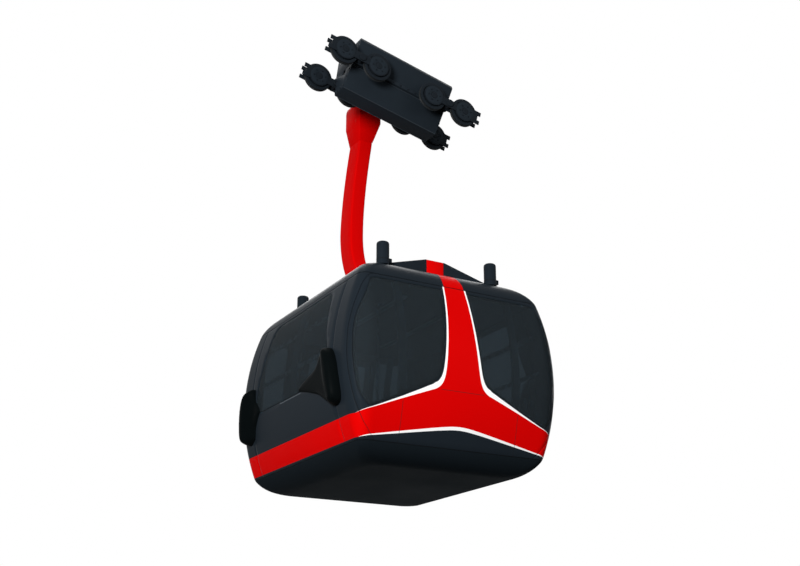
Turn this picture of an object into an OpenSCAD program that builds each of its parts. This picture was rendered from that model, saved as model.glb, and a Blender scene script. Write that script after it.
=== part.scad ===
// Cabin of a tricable ropeway: a wheeled carriage that rolls on two track ropes, a hanger arm
// that swings below it, and a passenger cabin with two sliding doors.
// Millimetres, +Z up, +X downhill along the ropes, +Y towards the doors.
// The origin is midway between the two track ropes, at the level of their axes.

/* [Ropes] */
// Distance between the axes of the two track ropes
rope_gauge = 860; // [820:5:900]
// Diameter of a track rope
track_rope_d = 54; // [48:1:58]
// Diameter of the haul rope in the grip
haul_rope_d = 46; // [40:1:50]
// Height of the haul rope over the track ropes
haul_rope_rise = 200; // [190:5:215]
// Fall of the ropes where the carriage stands, in degrees
rope_slope = 13.5; // [0:0.5:18]

/* [Cabin shell] */
// Length of the cabin along the ropes, at the belt line
cabin_len = 2800; // [2400:20:3400]
// Width of the cabin across the ropes, at the belt line
cabin_wid = 3340; // [2800:20:4000]
// Height of the roof over the belt line
roof_rise = 2050; // [1950:10:2400]
// Depth of the underside below the belt line
floor_drop = 500; // [480:5:600]
// How far the shell swells out beyond the belt line
bulge = 100; // [60:5:125]
// Height over the belt line where the shell is widest
bulge_z = 730; // [700:10:800]
// Radius of the side's arc, from roof edge to hem
bulge_r = 2850; // [2700:50:3500]
// Height where the side turns into the roof's shoulder
shoulder_z = 1760; // [1740:5:1800]
// Depth below the belt line where the side turns into the underside
hem_drop = 240; // [220:5:260]
// Depth of the seam between the walls and the underbody
seam_drop = 290; // [280:5:320]
// Thickness of the walls
wall_t = 45; // [35:1:60]
// Thickness of a window pane
pane_t = 8; // [6:1:12]
// Distance from the belt line up to the rope level
belt_to_rope = 5050; // [4800:10:5400]

/* [Panels] */
// Half-length of the side panel between its corner seams
side_half = 1200; // [1100:10:1220]
// Half-width of the end panel between its corner seams
end_half = 1350; // [1250:10:1400]
// Place of the window posts either side of the middle
post_x = 810; // [760:10:860]
// Half-width of the coloured stem at its top and at its foot
stem_half = [145, 240];
// Height of the side window's lower edge beside the stem
side_sill_z = 380; // [340:10:420]
// Height of the end window's lower edge
end_sill_z = 520; // [480:10:560]
// Gap between the window openings and the panel's edge
rim = 35; // [25:5:50]

/* [Doors] */
// Width of one door leaf
leaf_w = 540; // [480:5:550]
// How far one leaf slides
door_travel = 525; // [450:5:530]
// Thickness of a leaf
leaf_t = 38; // [30:1:45]
// Running clearance between a leaf and the wall behind it
leaf_clear = 8; // [6:1:12]
// Height of the top of a leaf
leaf_top_z = 1690; // [1600:10:1700]
// Depth of the foot of a leaf below the belt line
leaf_foot = 262; // [250:2:268]

/* [Carriage] */
// Distance of a rocker's pivot from the middle of the carriage
rocker_x = 740; // [700:5:780]
// Half of the distance between the two wheels of a rocker
wheel_half = 270; // [255:5:280]
// Radius of a wheel over its flanges
wheel_r = 212; // [205:1:220]
// Width of a wheel
wheel_w = 70; // [66:1:74]
// Diameter of a wheel's axle
axle_d = 50; // [40:2:60]
// Half-length of the carriage's box
box_half = 785; // [740:5:800]
// Height of the hanger's pivot over the track ropes
pivot_rise = 420; // [400:5:430]
// Diameter of the hanger's axle
pivot_d = 120; // [100:5:130]

/* [Hanger] */
// Size of the arm along the rope
arm_x = 220; // [180:10:260]
// Size of the arm across the rope, where it is straight
arm_y = 340; // [300:10:380]
// How far the arm's middle line bows out at its widest
arm_bow = 1290; // [1250:10:1340]
// Height of the beam across the roof
beam_h = 230; // [200:10:260]
// Half-width of the beam across the roof
beam_half = 130; // [115:5:140]

/* [Interior] */
// Height of a seat over the floor
seat_h = 440; // [400:10:480]
// Depth of a seat
seat_d = 420; // [380:10:460]
// Diameter of a grab pole
pole_d = 36; // [30:2:42]

/* [Hidden] */
$fn = 48;

eps = 1;                    // overshoot of a cut
seat = 0.3;                 // gap at a seat that isn't face to face
shell_c = [0.13, 0.15, 0.17];
band_c = [0.78, 0.02, 0.02];
dark_c = [0.03, 0.035, 0.04];
glass_c = [0.10, 0.13, 0.15, 0.6];
steel_c = [0.16, 0.19, 0.22];
bare_c = [0.55, 0.56, 0.58];

// The hanger's pivot lies square over the ropes, so the cabin hangs downhill of the origin
pivot_z = pivot_rise * cos(rope_slope);
pivot_x = pivot_rise * sin(rope_slope);

// ---------- outline of the shell ----------
half_x = cabin_len / 2;
half_y = cabin_wid / 2;
// The shell's side is one arc. The shoulder and the hem are arcs that leave it without a kink.
shoulder_a = asin((shoulder_z - bulge_z) / bulge_r);
shoulder_r = (roof_rise - shoulder_z) / (1 - sin(shoulder_a));
hem_a = asin((bulge_z + hem_drop) / bulge_r);
hem_r = (floor_drop - hem_drop) / (1 - sin(hem_a));
function side_out(z) = bulge - bulge_r * (1 - cos(asin((z - bulge_z) / bulge_r)));
function shoulder_out(a) = side_out(shoulder_z) + shoulder_r * (cos(a) - cos(shoulder_a));
function hem_out(a) = side_out(-hem_drop) + hem_r * (cos(a) - cos(hem_a));
// How far the shell stands out beyond the belt line at height z
function out(z) =
    z > shoulder_z ? shoulder_out(asin(min(1, (z - roof_rise + shoulder_r) / shoulder_r)))
    : z < -hem_drop ? hem_out(asin(min(1, (hem_r - floor_drop - z) / hem_r)))
    : side_out(z);
// Radius of the upright corners at height z: they start at the side panel's edge, and open out over
// the shoulder and under the hem
corner_growth = 0.35;
function corner_r(z) =
    let (edge_z = z > shoulder_z ? shoulder_z : z < -seam_drop ? -seam_drop : z)
    half_x - side_half + out(edge_z) + corner_growth * (out(edge_z) - out(z));
function steps(z0, z1, n) = [for (i = [0:n]) z0 + (z1 - z0) * i / n];
shoulder_zs = [for (i = [0:8]) let (a = shoulder_a + (90 - shoulder_a) * i / 8)
    roof_rise - shoulder_r * (1 - sin(a))];
hem_zs = [for (i = [7:-1:1]) let (a = hem_a + (90 - hem_a) * i / 7)
    -floor_drop + hem_r * (1 - sin(a))];
wall_zs = concat([-seam_drop], steps(-hem_drop, shoulder_z, 10));

// A column of the shell is [kind, value]: kind 0 at x = value on the +Y face, 1 at an angle round the
// corner, 2 at y = value on the +X face. The point lies at height z, a depth t inside the skin.
function shell_pt(c, z, t) =
    let (hx = half_x + out(z) - t, hy = half_y + out(z) - t, r = max(corner_r(z) - t, 10))
    c[0] == 0 ? [c[1], hy, z]
    : c[0] == 2 ? [hx, c[1], z]
    : [hx - r + r * sin(c[1]), hy - r + r * cos(c[1]), z];
corner_cols = [for (i = [0:6]) [1, 15 * i]];

// A piece of the shell between depths t0 and t1, along the given columns and heights
module shell_patch(cols, zs, t0, t1) {
    nc = len(cols);
    nz = len(zs);
    pts = [for (t = [t0, t1]) for (z = zs) for (c = cols) shell_pt(c, z, t)];
    function id(k, j, i) = (k * nz + j) * nc + i;
    polyhedron(points = pts, faces = concat(
        [for (j = [0:nz - 2]) for (i = [0:nc - 2]) each [
            [id(0, j, i), id(0, j, i + 1), id(0, j + 1, i + 1)],
            [id(0, j, i), id(0, j + 1, i + 1), id(0, j + 1, i)],
            [id(1, j, i), id(1, j + 1, i + 1), id(1, j, i + 1)],
            [id(1, j, i), id(1, j + 1, i), id(1, j + 1, i + 1)]]],
        [for (j = [0:nz - 2]) each [
            [id(0, j, 0), id(0, j + 1, 0), id(1, j + 1, 0)],
            [id(0, j, 0), id(1, j + 1, 0), id(1, j, 0)],
            [id(0, j, nc - 1), id(1, j + 1, nc - 1), id(0, j + 1, nc - 1)],
            [id(0, j, nc - 1), id(1, j, nc - 1), id(1, j + 1, nc - 1)]]],
        [for (i = [0:nc - 2]) each [
            [id(0, 0, i), id(1, 0, i + 1), id(0, 0, i + 1)],
            [id(0, 0, i), id(1, 0, i), id(1, 0, i + 1)],
            [id(0, nz - 1, i), id(0, nz - 1, i + 1), id(1, nz - 1, i + 1)],
            [id(0, nz - 1, i), id(1, nz - 1, i + 1), id(1, nz - 1, i)]]]));
}

// A closed loft of whole rings. Each ring is [height that sets the outline, height it lies at, depth].
function quarter(z, t) = [for (c = corner_cols) shell_pt(c, z, t)];
function ring(z, t) =
    let (q = quarter(z, t), n = len(q))
    concat(q, [for (i = [n - 1:-1:0]) [q[i].x, -q[i].y, z]],
        [for (p = q) [-p.x, -p.y, z]], [for (i = [n - 1:-1:0]) [-q[i].x, q[i].y, z]]);
module shell_loft(rings) {
    n = 4 * len(corner_cols);
    m = len(rings);
    pts = [for (r = rings) for (p = ring(r[0], r[2])) [p.x, p.y, r[1]]];
    polyhedron(points = pts, faces = concat(
        [for (j = [0:m - 2]) for (i = [0:n - 1]) let (k = (i + 1) % n) each [
            [j * n + i, j * n + k, (j + 1) * n + k],
            [j * n + i, (j + 1) * n + k, (j + 1) * n + i]]],
        [[for (i = [n - 1:-1:0]) i]],
        [[for (i = [0:n - 1]) (m - 1) * n + i]]));
}

// Cuts through a wall: an outline in (x, z) driven along Y, or in (y, z) driven along X
module through_y(reach) { rotate([90, 0, 0]) linear_extrude(reach, center = true) children(); }
module through_x(reach) { rotate([90, 0, 90]) linear_extrude(reach, center = true) children(); }
module in_cabin() { translate([pivot_x, 0, -belt_to_rope]) children(); }
module both_x() { children(); mirror([1, 0, 0]) children(); }
module both_y() { children(); mirror([0, 1, 0]) children(); }

// ---------- cabin ----------
tub_floor = 45;             // depth of the recess that takes the floor plate
floor_t = 35;               // thickness of the floor plate
floor_z = -seam_drop - tub_floor + floor_t;
module underbody() {
    rings = concat([for (z = hem_zs) if (z < -seam_drop) [z, z, 0]], [[-seam_drop, -seam_drop, 0]]);
    color(shell_c) in_cabin() difference() {
        shell_loft(rings);
        shell_loft([[-seam_drop, -seam_drop - tub_floor, wall_t], [-seam_drop, eps - seam_drop, wall_t]]);
    }
}
module floor_plate() {
    color(dark_c) in_cabin() shell_loft([[-seam_drop, floor_z - floor_t, wall_t + seat],
        [-seam_drop, floor_z, wall_t + seat]]);
}

// Half of the side window's outline, in (x, z): it follows the coloured stem and its foot
glass_foot_z = 95;          // lowest corner of the side window
elbow_x = 470;              // where the sill starts to fall
window_top_z = shoulder_z - rim - 15;
module side_window() {
    polygon([[stem_half[0] + 15, window_top_z], [stem_half[1] + 15, side_sill_z + 160],
        [stem_half[1] + 60, side_sill_z + 40], [elbow_x, side_sill_z - 30],
        [side_half - rim - 20, glass_foot_z], [side_half - rim, glass_foot_z + 20],
        [side_half - rim, window_top_z - 120], [side_half - rim - 40, window_top_z - 30],
        [side_half - rim - 120, window_top_z]]);
}
module side_windows(reach) { through_y(reach) { side_window(); mirror([1, 0]) side_window(); } }
side_cols = [[0, -side_half], [0, side_half]];
module side_wall() {
    color(band_c) in_cabin() mirror([0, 1, 0]) difference() {
        shell_patch(side_cols, wall_zs, 0, wall_t);
        side_windows(3 * cabin_wid);
    }
}
pane_in = 4;                // how far a pane lies behind the skin
module pane_y() { shell_patch(side_cols, wall_zs, pane_in, pane_in + pane_t); }
module side_glass() {
    color(glass_c) in_cabin() mirror([0, 1, 0]) intersection() {
        pane_y();
        side_windows(3 * cabin_wid);
    }
}

// The door side has a doorway in the middle and a window either side of it
doorway_half = leaf_w - 15;
module door_side_window() {
    polygon([[doorway_half + 60, end_sill_z - 100], [side_half - rim, end_sill_z - 100],
        [side_half - rim, window_top_z - 100], [side_half - rim - 90, window_top_z - 20],
        [doorway_half + 60, window_top_z - 20]]);
}
module door_side_windows(reach) {
    through_y(reach) { door_side_window(); mirror([1, 0]) door_side_window(); }
}
module door_side_wall() {
    color(shell_c) in_cabin() difference() {
        shell_patch(side_cols, wall_zs, 0, wall_t);
        door_side_windows(3 * cabin_wid);
        translate([-doorway_half, 0, -floor_drop]) cube([2 * doorway_half, cabin_wid, leaf_top_z - 30 + floor_drop]);
    }
}
module door_side_glass() {
    color(glass_c) in_cabin() intersection() {
        pane_y();
        door_side_windows(3 * cabin_wid);
    }
}

// End walls: one wide window over a plain lower panel
end_cols = [[2, end_half], [2, -end_half]];
module end_window() {
    polygon([[-end_half + rim, end_sill_z], [end_half - rim, end_sill_z],
        [end_half - rim, window_top_z - 260], [end_half - rim - 70, window_top_z - 80],
        [end_half - rim - 230, window_top_z], [-end_half + rim + 230, window_top_z],
        [-end_half + rim + 70, window_top_z - 80], [-end_half + rim, window_top_z - 260]]);
}
module end_wall() {
    color(shell_c) difference() {
        shell_patch(end_cols, wall_zs, 0, wall_t);
        through_x(3 * cabin_len) end_window();
    }
}
module end_wall_front() { in_cabin() end_wall(); }
module end_wall_rear() { in_cabin() mirror([1, 0, 0]) end_wall(); }
module end_glass() {
    color(glass_c) in_cabin() both_x() intersection() {
        shell_patch(end_cols, wall_zs, pane_in, pane_in + pane_t);
        translate([cabin_len, 0, 0]) through_x(2 * cabin_len) end_window();
    }
}
module corner_pillars() {
    cols = concat([[0, side_half]], [for (c = corner_cols) c], [[2, end_half]]);
    color(shell_c) in_cabin() both_x() both_y() shell_patch(cols, wall_zs, 0, wall_t);
}

// Inner posts behind the panes, from the floor to the roof's rim
post_w = 95;                // width of an inner post
post_t = 40;                // depth of an inner post
module window_posts() {
    side_post = [[0, post_x - post_w / 2], [0, post_x + post_w / 2]];
    end_post = [[2, post_w], [2, -post_w]];
    zs = concat([floor_z + seat], wall_zs);
    end_zs = [for (z = wall_zs) if (z > end_sill_z - 200) z];
    color(steel_c) in_cabin() {
        both_x() both_y() shell_patch(side_post, zs, wall_t + seat, wall_t + post_t);
        both_x() shell_patch(end_post, end_zs, wall_t + seat, wall_t + post_t);
    }
}
// Bars across the end windows, at two heights
rail_zs = [[1350, 1410], [880, 930]];
module window_rails() {
    rail_gap = post_w + seat;
    color(bare_c) in_cabin() both_x() both_y() for (r = rail_zs)
        shell_patch([[2, end_half - 10], [2, rail_gap]], r, wall_t + 2, wall_t + post_t - 8);
}

// ---------- roof ----------
roof_t = 40;
roof_rim = 90;              // width of the rim that the ceiling and the posts meet
module roof_panel() {
    inner_h = (roof_rise - roof_t - shoulder_z) / (roof_rise - shoulder_z);
    color(shell_c) in_cabin() difference() {
        shell_loft([for (z = shoulder_zs) [z, z, 0]]);
        shell_loft(concat([[shoulder_z, shoulder_z - eps, roof_rim]],
            [for (z = [shoulder_zs[2], shoulder_zs[4], shoulder_zs[6], shoulder_zs[8]])
                [z, shoulder_z + (z - shoulder_z) * inner_h, roof_rim]]));
    }
}
ceiling_t = 12;
module ceiling_panel() {
    color([0.8, 0.8, 0.8]) in_cabin() shell_loft([
        [shoulder_z, shoulder_z - ceiling_t, wall_t + post_t + seat],
        [shoulder_z, shoulder_z, wall_t + post_t + seat]]);
}
roof_flat_y = half_y + shoulder_out(90);
beam_len = roof_flat_y - 15;
module roof_beam() {
    color(band_c) in_cabin() translate([-beam_half, -beam_len, roof_rise])
        cube([2 * beam_half, 2 * beam_len, beam_h]);
}
fairing_x = 930;            // where the fairings meet the roof
fairing_edge = 10;          // thickness left at their thin edge
module roof_fairings() {
    color(shell_c) in_cabin() both_x() difference() {
        translate([0, 0, roof_rise]) through_y(2 * beam_len)
            polygon([[beam_half, 0], [fairing_x, 0], [fairing_x, fairing_edge], [beam_half, beam_h]]);
        both_y() translate([0, 0, -eps]) roof_post(2 * seat);
    }
}
roof_post_y = 1200;
roof_post_d = 165;
roof_post_h = 310;
module roof_post(wider) {
    translate([post_x, roof_post_y, roof_rise]) cylinder(h = roof_post_h, d = roof_post_d + wider);
}
module roof_posts() { color(shell_c) in_cabin() both_x() both_y() roof_post(0); }

// ---------- bumpers on the end walls ----------
bumper_reach = 140;         // how far a bumper stands out
pad_y = 1400;               // middle of the upright pad
pad_half = 95;
pad_z = [150, 885];
// Outline of a bumper in (y, z): an upright pad with a wing that ends at the tip
module bumper_outline(tip_y) {
    wing = pad_y - pad_half - tip_y;
    polygon([[pad_y + pad_half, pad_z[0] + 60], [pad_y + pad_half - 50, pad_z[0]],
        [pad_y - pad_half + 40, pad_z[0] + 10], [tip_y + 0.70 * wing, 250], [tip_y + 0.56 * wing, 350],
        [tip_y + 0.36 * wing, 430], [tip_y, 498], [tip_y, 545], [tip_y + 0.20 * wing, 610],
        [tip_y + 0.48 * wing, 710], [tip_y + 0.66 * wing, 860], [pad_y - pad_half + 20, pad_z[1]],
        [pad_y + pad_half - 60, pad_z[1]], [pad_y + pad_half, pad_z[1] - 70]]);
}
wing_near = 280;            // where the wing ends, on the side with the stem
wing_far = 960;             // where the wing ends, on the door side
bumper_zs = [for (z = wall_zs) if (z > pad_z[0] - 200 && z < pad_z[1] + 200) z];
bumper_cols = [[1, 60], [1, 75], [1, 90], [2, 200]];
module bumper(tip_y) {
    intersection() {
        shell_patch(bumper_cols, bumper_zs, -bumper_reach, 0);
        translate([cabin_len, 0, 0]) through_x(2 * cabin_len) bumper_outline(tip_y);
    }
}
module bumper_pair() {
    color(dark_c) {
        bumper(wing_far);
        mirror([0, 1, 0]) bumper(wing_near);
    }
}
module bumpers_front() { in_cabin() bumper_pair(); }
module bumpers_rear() { in_cabin() mirror([1, 0, 0]) bumper_pair(); }

// ---------- doors ----------
leaf_zs = concat([-leaf_foot], steps(-hem_drop + 20, leaf_top_z, 9));
leaf_in = [-leaf_clear - leaf_t, -leaf_clear];
leaf_rim = 60;
meeting = 3;                // gap between the closed leaves
module leaf_window(z0) {
    polygon([[meeting + leaf_rim, z0], [leaf_w - leaf_rim, z0],
        [leaf_w - leaf_rim, leaf_top_z - leaf_rim - 20], [meeting + leaf_rim, leaf_top_z - leaf_rim - 20]]);
}
leaf_sill_z = 60;
module leaf_skin(t0, t1) { shell_patch([[0, meeting], [0, leaf_w]], leaf_zs, t0, t1); }
module door_leaf() {
    color(shell_c) {
        difference() {
            leaf_skin(leaf_in[0], leaf_in[1]);
            through_y(3 * cabin_wid) leaf_window(leaf_sill_z);
        }
        for (x = [90, leaf_w - 150]) shell_patch([[0, x], [0, x + 60]], [leaf_top_z - eps, track_z0 - seat],
            leaf_in[0] + 8, leaf_in[1] - 8);
    }
}
module door_glass() {
    color(glass_c) intersection() {
        leaf_skin(leaf_in[0] + pane_in, leaf_in[0] + pane_in + pane_t);
        through_y(3 * cabin_wid) leaf_window(leaf_sill_z);
    }
}
module door_leaf_front() { in_cabin() door_leaf(); }
module door_leaf_rear() { in_cabin() mirror([1, 0, 0]) door_leaf(); }
module door_glass_front() { in_cabin() door_glass(); }
module door_glass_rear() { in_cabin() mirror([1, 0, 0]) door_glass(); }
// The track over the leaves stands on the wall; a sill rail below guides their feet
track_z0 = leaf_top_z + 14;
track_z1 = shoulder_z - 10;
track_half = leaf_w + door_travel + 20;
module door_track() {
    color(steel_c) in_cabin() shell_patch([[0, -track_half], [0, track_half]],
        [track_z0, (track_z0 + track_z1) / 2, track_z1], leaf_in[0] - 8, 0);
}
module door_sill() {
    color(steel_c) in_cabin() shell_patch([[0, -track_half], [0, track_half]],
        [-seam_drop, -leaf_foot - 1], leaf_in[0] - 4, 0);
}

// ---------- interior ----------
bench_half = 1180;
back_t = 60;
module bench() {
    // The back stands 20 mm clear of the window posts at their widest
    wall_x = half_x + out(seat_h / 2) - wall_t - post_t - 20;
    foot_x = half_x + out(-seam_drop) - wall_t - 30;
    seat_z = floor_z + seat_h;
    front_x = wall_x - back_t - seat_d;
    color([0.10, 0.11, 0.12]) through_y(2 * bench_half)
        polygon([[front_x + 60, floor_z], [foot_x, floor_z], [foot_x + 40, floor_z + 120],
            [wall_x - 10, seat_z - 60], [wall_x, seat_z + 430], [wall_x - 25, seat_z + 460],
            [wall_x - back_t, seat_z + 430], [wall_x - back_t - 70, seat_z], [front_x + 20, seat_z + 15],
            [front_x, seat_z - 10], [front_x + 10, seat_z - 50], [front_x + 60, seat_z - 60]]);
}
module bench_front() { in_cabin() bench(); }
module bench_rear() { in_cabin() mirror([1, 0, 0]) bench(); }
pole_x = 560;
pole_y = 620;
module grab_poles() {
    h = shoulder_z - ceiling_t - floor_z;
    color(bare_c) in_cabin() both_x() both_y() translate([pole_x, pole_y, floor_z])
        cylinder(h = h, d = pole_d);
}

// ---------- hanger ----------
head_y = [720, 1190];       // the head's two faces across the ropes
head_half = 180;            // half of the head's size along the ropes
arm_top_y = 1015;           // middle line of the arm at the head
arm_top_z = -150;           // where the arm meets the head
bow_z = -1520;              // where the arm bows out furthest
foot_y = 400;               // where the arm ends over the roof beam
foot_t = 30;                // thickness of the foot's flange
arm_foot = 230;             // height of the arm at its foot
foot_z = roof_rise + beam_h + foot_t - belt_to_rope;
// Middle line of the arm in (y, z): a long slow curve down to the bow, then a quarter of an ellipse
arm_steps = 12;
arm_upper = [for (i = [0:arm_steps]) let (s = i / arm_steps)
    [arm_top_y + (arm_bow - arm_top_y) * (1 - pow(1 - s, 1.7)), arm_top_z + (bow_z - arm_top_z) * s]];
arm_lower = [for (i = [1:arm_steps]) let (a = 90 * i / arm_steps)
    [foot_y + (arm_bow - foot_y) * cos(a), bow_z - (bow_z - foot_z - arm_foot / 2) * sin(a)]];
arm_line = concat(arm_upper, arm_lower);
arm_last = len(arm_line) - 1;
function unit(v) = v / norm(v);
function arm_dir(i) = i == 0 || i == arm_steps ? [0, -1] : i == arm_last ? [-1, 0]
    : unit(arm_line[i + 1] - arm_line[i - 1]);
function arm_width(i) = i <= arm_steps ? arm_y
    : arm_y + (arm_foot - arm_y) * (i - arm_steps) / arm_steps;
function arm_edge(side) = [for (i = [0:arm_last]) let (d = arm_dir(i))
    arm_line[i] + side * arm_width(i) / 2 * [-d.y, d.x]];
module hanger_arm() {
    right = arm_edge(-1);
    color(band_c) translate([pivot_x, 0, 0]) rotate([90, 0, 90]) linear_extrude(arm_x, center = true)
        polygon(concat(arm_edge(1), [for (i = [arm_last:-1:0]) right[i]]));
}
// The head is the overlap of two outlines: one in (x, z) round the pivot, one in (y, z)
running = 0.08;             // radial clearance of a running fit
shoulder = 130;             // height at which the head starts to narrow
module hanger_head() {
    color(band_c) translate([pivot_x, 0, 0]) difference() {
        intersection() {
            through_y(3000) polygon(concat([[-head_half, shoulder], [-arm_x / 2, arm_top_z],
                [arm_x / 2, arm_top_z], [head_half, shoulder]],
                [for (a = [0:15:180]) [head_half * cos(a), pivot_z + head_half * sin(a)]]));
            rotate([90, 0, 90]) linear_extrude(2 * head_half + 2, center = true)
                polygon([[head_y[0], pivot_z + head_half + 1], [head_y[1], pivot_z + head_half + 1],
                    [head_y[1], shoulder], [arm_top_y + arm_y / 2, arm_top_z],
                    [arm_top_y - arm_y / 2, arm_top_z], [head_y[0], shoulder]]);
        }
        translate([0, 0, pivot_z]) rotate([90, 0, 0])
            cylinder(h = 3000, d = pivot_d + 2 * running, center = true);
    }
}
module hanger_foot() {
    color(band_c) in_cabin() translate([-beam_half, foot_y - 60, roof_rise + beam_h])
        cube([2 * beam_half, 330, foot_t]);
}

// ---------- carriage: all in the ropes' own slope ----------
module on_rope() { rotate([0, rope_slope, 0]) children(); }
module across(y0, y1, d) { translate([0, y0, 0]) rotate([-90, 0, 0]) cylinder(h = y1 - y0, d = d); }
plate_t = 12;               // thickness of the carriage's plates
belly_z = [-135, 205];      // floor and top of the belly
belly_half = [140, 252];    // its half-width at those heights
rail_y = [230, 306];        // the side rails on top of the belly
rail_z = [205, 250];
cover_pts = [[286, rail_z[1]], [372, 575], [330, 640]];
module mirrored_outline(pts) {
    polygon(concat(pts, [for (i = [len(pts) - 1:-1:0]) [-pts[i].x, pts[i].y]]));
}
module belly_outline(t) {
    mirrored_outline([[belly_half[0] - t, belly_z[0] + t], [belly_half[1] - t, belly_z[1]]]);
}
module carriage_frame() {
    rope_hole = 90;
    color(steel_c) on_rope() {
        through_x(2 * (box_half - plate_t)) difference() {
            belly_outline(0);
            belly_outline(plate_t);
        }
        through_x(2 * box_half) for (s = [-1, 1]) translate([s > 0 ? rail_y[0] : -rail_y[1], rail_z[0]])
            square([rail_y[1] - rail_y[0], rail_z[1] - rail_z[0]]);
        both_x() translate([box_half - plate_t / 2, 0, 0]) through_x(plate_t) difference() {
            union() {
                belly_outline(0);
                translate([-rail_y[1], rail_z[0]]) square([2 * rail_y[1], rail_z[1] - rail_z[0]]);
            }
            translate([0, haul_rope_rise]) circle(d = rope_hole);
        }
    }
}
module carriage_cover() {
    inner = [for (p = cover_pts) [p.x - plate_t, p.y == rail_z[1] ? p.y - eps : p.y - plate_t]];
    color(steel_c) on_rope() difference() {
        through_x(2 * box_half) mirrored_outline(cover_pts);
        through_x(2 * (box_half - plate_t)) mirrored_outline(inner);
        translate([0, 0, pivot_rise]) across(0, 500, pivot_d + 8);
    }
}
cheek_y = [235, 265];       // the two cheeks that carry the hanger's axle
module pivot_cradle() {
    color(steel_c) on_rope() both_y() difference() {
        translate([0, (cheek_y[0] + cheek_y[1]) / 2, 0]) through_y(cheek_y[1] - cheek_y[0])
            polygon([[-160, rail_z[1]], [160, rail_z[1]], [95, pivot_rise + 95], [-95, pivot_rise + 95]]);
        translate([0, 0, pivot_rise]) across(0, 500, pivot_d + 2 * seat);
    }
}
module pivot_axle() {
    color(steel_c) on_rope() translate([0, 0, pivot_rise]) {
        across(-cheek_y[1] - 8, head_y[1] + 25, pivot_d);
        across(355, head_y[0] - seat, pivot_d + 50);
        across(head_y[1] + seat, head_y[1] + 25, pivot_d + 50);
    }
}
module rope_grip() {
    grip_half = 170;
    color(bare_c) on_rope() difference() {
        through_x(2 * grip_half) union() {
            translate([-85, belly_z[0] + plate_t]) square([170, haul_rope_rise - 60 - belly_z[0] - plate_t]);
            translate([-105, haul_rope_rise - 60]) square([210, 145]);
        }
        rotate([0, 90, 0]) translate([-haul_rope_rise, 0, 0])
            cylinder(h = 3 * grip_half, d = haul_rope_d, center = true);
        translate([0, 0, haul_rope_rise + 100]) cube([3 * grip_half, 0.78 * haul_rope_d, 200], center = true);
    }
}

// ---------- rockers and wheels ----------
track_y = rope_gauge / 2;
wheel_z = 222;              // height of the wheels' axles over the track ropes
groove_clear = 2;           // how much wider the groove is than the rope
side_y = [wheel_w / 2 + 12, wheel_w / 2 + 26];
stub_d = 70;
hub_d = 100;
module rocker_stubs() {
    color(steel_c) on_rope() both_x() both_y() translate([rocker_x, 0, wheel_z]) {
        across(rail_y[1], track_y + side_y[1] + 20, stub_d);
        across(rail_y[1], rail_y[1] + 12, stub_d + 50);
        across(track_y + side_y[1] + 4, track_y + side_y[1] + 20, stub_d + 40);
    }
}
lug_half = 105;
module rocker_plate() {
    disc_r = 158;
    beam_half_z = 62;
    lug_x = [wheel_half + 120, wheel_half + wheel_r + 50];
    difference() {
        union() {
            for (s = [-1, 1]) translate([s * wheel_half, 0]) circle(disc_r);
            translate([-wheel_half, -beam_half_z]) square([2 * wheel_half, 2 * beam_half_z]);
            translate([lug_x[0], -lug_half]) square([lug_x[1] - lug_x[0], 2 * lug_half]);
        }
        translate([wheel_half + wheel_r + 5, -42]) square([60, 84]);
    }
}
// A rocker hangs on its stub and holds two wheels. end is 1 downhill and -1 uphill, side is 1 or -1.
module rocker(end, side) {
    color(steel_c) on_rope() translate([end * rocker_x, side * track_y, wheel_z])
        mirror([end < 0 ? 1 : 0, 0, 0]) difference() {
            union() {
                for (s = [-1, 1]) translate([0, s * (side_y[0] + side_y[1]) / 2, 0])
                    through_y(side_y[1] - side_y[0]) rocker_plate();
                across(-side_y[1] - 3, side_y[1] + 3, hub_d);
                for (s = [-1, 1]) translate([s * wheel_half, 0, 0]) {
                    across(-side_y[1] - 8, side_y[1] + 8, axle_d);
                    for (k = [-1, 1]) translate([0, k * (side_y[1] + 4), 0]) across(-4, 4, axle_d + 50);
                }
            }
            across(-200, 200, stub_d + 2 * running);
        }
}
module rocker_near_front() { rocker(1, -1); }
module rocker_near_rear() { rocker(-1, -1); }
module rocker_far_front() { rocker(1, 1); }
module rocker_far_rear() { rocker(-1, 1); }
wheel_xs = [-rocker_x - wheel_half, -rocker_x + wheel_half, rocker_x - wheel_half, rocker_x + wheel_half];
module wheel(n, side) {
    groove_r = (track_rope_d + groove_clear) / 2;
    color(steel_c) on_rope() translate([wheel_xs[n - 1], side * track_y, wheel_z]) rotate([90, 0, 0])
        rotate_extrude($fn = 96) difference() {
            translate([axle_d / 2 + running, -wheel_w / 2])
                square([wheel_r - axle_d / 2 - running, wheel_w]);
            translate([wheel_z, 0]) circle(groove_r);
            for (s = [-1, 1]) translate([70, s > 0 ? 22 : -22 - wheel_w]) square([95, wheel_w]);
        }
}
module wheel_near_1() { wheel(1, -1); }
module wheel_near_2() { wheel(2, -1); }
module wheel_near_3() { wheel(3, -1); }
module wheel_near_4() { wheel(4, -1); }
module wheel_far_1() { wheel(1, 1); }
module wheel_far_2() { wheel(2, 1); }
module wheel_far_3() { wheel(3, 1); }
module wheel_far_4() { wheel(4, 1); }

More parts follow.
